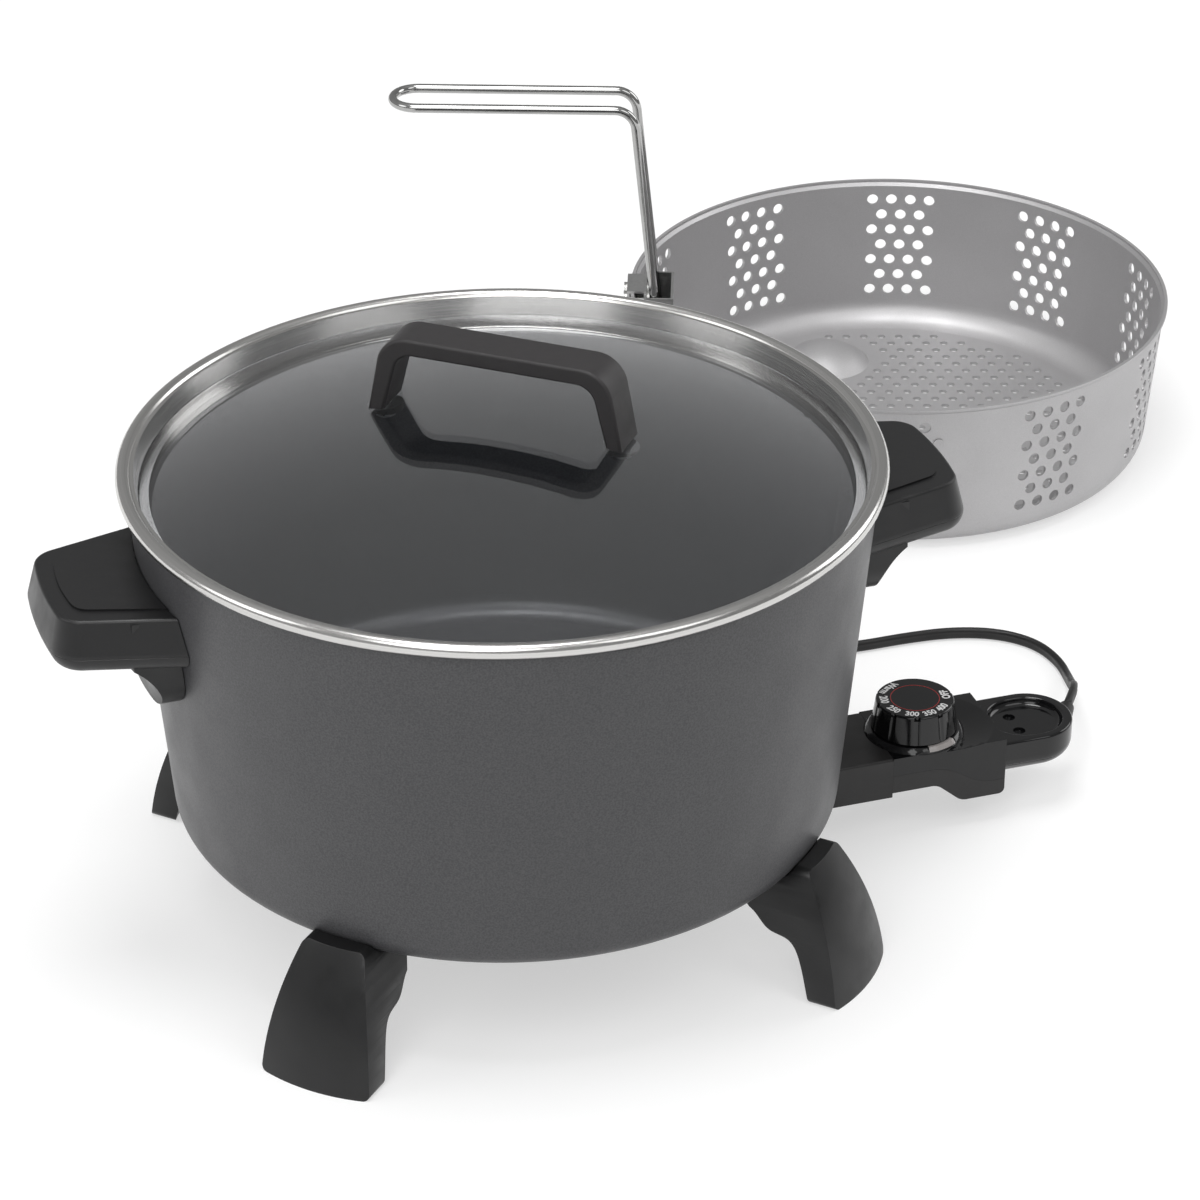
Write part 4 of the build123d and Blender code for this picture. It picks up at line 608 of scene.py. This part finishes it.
cord_section = []
for side in range(cord_sides):
    angle = 2 * math.pi * side / cord_sides
    along = math.sin(angle)
    waist = 1 - groove_depth_share * math.exp(-((along / groove_half_share) ** 2))
    cord_section.append((along * cord_width / 2, math.cos(angle) * cord_thickness / 2 * waist))
tube = bmesh.new()
tube_rings = []
for index, spot in enumerate(followed):
    ahead = followed[min(index + 1, len(followed) - 1)] - followed[max(index - 1, 0)]
    heading = ahead.normalized()
    aside = heading.cross(upright).normalized()
    up = aside.cross(heading)
    tube_rings.append([tube.verts.new(spot + up * high + aside * wide) for high, wide in cord_section])
for here, there in zip(tube_rings, tube_rings[1:]):
    skin_between(tube, here, there)
tube.faces.new(tube_rings[0])
tube.faces.new(list(reversed(tube_rings[-1])))
bmesh.ops.recalc_face_normals(tube, faces=tube.faces)
for face in tube.faces:
    face.smooth = True
cord_rubber = moulded(
    "cord_rubber", colour(12, 11, 11), colour(22, 21, 21),
    roughness=(0.42, 0.55), texture=0.0004, depth=0.00004,
)
lead = show("lead", tube, cord_rubber)
dress(cord_rubber, "cord_boot", "plug")
dress(brass, "plug_blades")
tie_plastic = moulded(
    "tie_plastic", colour(30, 30, 30), colour(40, 40, 40),
    roughness=(0.5, 0.6), texture=0.0008, depth=0.00004,
)
dress(tie_plastic, "cord_tie")
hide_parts("cord", "cord_coil")
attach(lead, "control")

# Basket: a drawn aluminium pan, pierced in its floor and in groups round its wall,
# finished satin by blasting. A steel pocket for the handle is riveted to its rim.

blast_size = 0.0005
blast_depth = 0.00002
blast_cloud = 0.03

basket_metal = new_finish("basket_metal", colour(190, 189, 190), 0.5, metallic=0.75)
blast = grain(basket_metal, blast_size, detail=3.0)
tone(basket_metal, blast, colour(180, 179, 180), colour(200, 199, 200))
blast_haze = spread(basket_metal, grain(basket_metal, blast_cloud, detail=3.0), 0.44, 0.54)
feed(basket_metal, "Roughness", blast_haze)
relief(basket_metal, blast, blast_depth)
dress(basket_metal, "basket")
dress(sheet_steel, "basket_bracket")
rivet_metal = bare_metal(
    "rivet_metal", colour(170, 170, 168), colour(200, 200, 198),
    roughness=(0.32, 0.5), size=0.001,
)
dress(rivet_metal, "basket_rivets")

# Basket handle: one bright plated wire, bent to a long loop, whose two legs
# stand in the basket's pocket.

wire_chrome = bare_metal(
    "wire_chrome", colour(162, 162, 161), colour(184, 184, 183),
    roughness=(0.06, 0.14), size=0.004,
)
dress(wire_chrome, "basket_handle")

# Floor: a plain white sheet under the object, which glows towards its edges and still
# takes the object's shadow. It doesn't belong to the object.

floor_half = 4.0
floor_grey = (0.5, 0.5, 0.5, 1.0)
near_glow = 0.53
far_glow = 1.0
glow_from = 0.9
glow_to = 2.2

sheet = bmesh.new()
bmesh.ops.create_grid(sheet, x_segments=1, y_segments=1, size=floor_half)
white_floor = new_finish("white_floor", floor_grey, 0.9, specular_ior_level=0.0)
studio_floor = show("studio_floor", sheet, white_floor)
floor_nodes = white_floor.node_tree.nodes
floor_ray = add(white_floor, "LightPath", {}).outputs
mirrored = calc(white_floor, "MAXIMUM", floor_ray["Is Glossy Ray"], floor_ray["Is Transmission Ray"])
floor_seen = calc(white_floor, "MAXIMUM", floor_ray["Is Camera Ray"], mirrored)
distance = add(white_floor, "VectorMath", {0: place_of(white_floor)}, operation="LENGTH").outputs["Value"]
whiteness = spread(white_floor, distance, near_glow, far_glow, glow_from, glow_to)
glow_strength = calc(white_floor, "MULTIPLY", floor_seen, whiteness)
glow = add(white_floor, "Emission", {"Strength": glow_strength}).outputs[0]
glowing = add(white_floor, "AddShader", {0: floor_nodes["Principled BSDF"].outputs[0], 1: glow}).outputs[0]
white_floor.node_tree.links.new(glowing, floor_nodes["Material Output"].inputs["Surface"])

# Studio: white walls that light the object a little from above and from its left, and
# five round soft lamps. They stand where the main view's glass doesn't mirror them.

wall_light = 0.26
ceiling_light = 0.5
ceiling_from = 0.7
left_light = 0.14

studio = bpy.data.worlds.new("studio")
bpy.context.scene.world = studio
studio.use_nodes = True
sky_way = measures(studio, add(studio, "TexCoord", {}).outputs["Generated"])
overhead = spread(studio, sky_way[2], wall_light, ceiling_light, ceiling_from, 1.0)
beside = spread(studio, sky_way[0], left_light, 0.0, -1.0, 1.0)
sky_ray = add(studio, "LightPath", {}).outputs
sky_seen = calc(studio, "MAXIMUM", sky_ray["Is Camera Ray"], sky_ray["Is Transmission Ray"])
brightness = calc(studio, "MAXIMUM", calc(studio, "ADD", overhead, beside), sky_seen)
sky = studio.node_tree.nodes["Background"]
sky.inputs["Color"].default_value = (1.0, 1.0, 1.0, 1.0)
studio.node_tree.links.new(brightness, sky.inputs["Strength"])

lamp_aim = Vector((0.05, 0.05, 0.1))
lamps = {
    "key": ((-0.2, 0.0, 2.6), 1.2, 27.0),
    "front": ((-1.0, -1.6, 2.0), 1.9, 22.0),
    "edge": ((0.9, -1.3, 1.9), 1.2, 6.0),
    "left": ((-1.6, 0.2, 1.2), 1.0, 5.0),
    "right": ((1.6, 0.3, 0.9), 1.0, 6.0),
}
for name, (spot, width, watts) in lamps.items():
    lamp = bpy.data.lights.new(name, "AREA")
    lamp.shape = "DISK"
    lamp.size = width
    lamp.energy = watts
    holder = bpy.data.objects.new(name, lamp)
    holder.location = spot
    holder.rotation_euler = (lamp_aim - Vector(spot)).to_track_quat("-Z", "Y").to_euler()
    bpy.context.collection.objects.link(holder)

# Camera: a long lens in front of the object and above it, turned a little to the
# right, at the photograph's own place and angle.

lens = bpy.data.cameras.new("camera")
lens.lens = 126.0
lens.sensor_width = 36.0
camera = bpy.data.objects.new("camera", lens)
camera.location = (-0.4142, -1.3821, 0.9584)
camera.rotation_euler = (math.radians(60.23), 0, math.radians(-18.18))
bpy.context.collection.objects.link(camera)
bpy.context.scene.camera = camera
bpy.context.scene.view_settings.view_transform = "Standard"
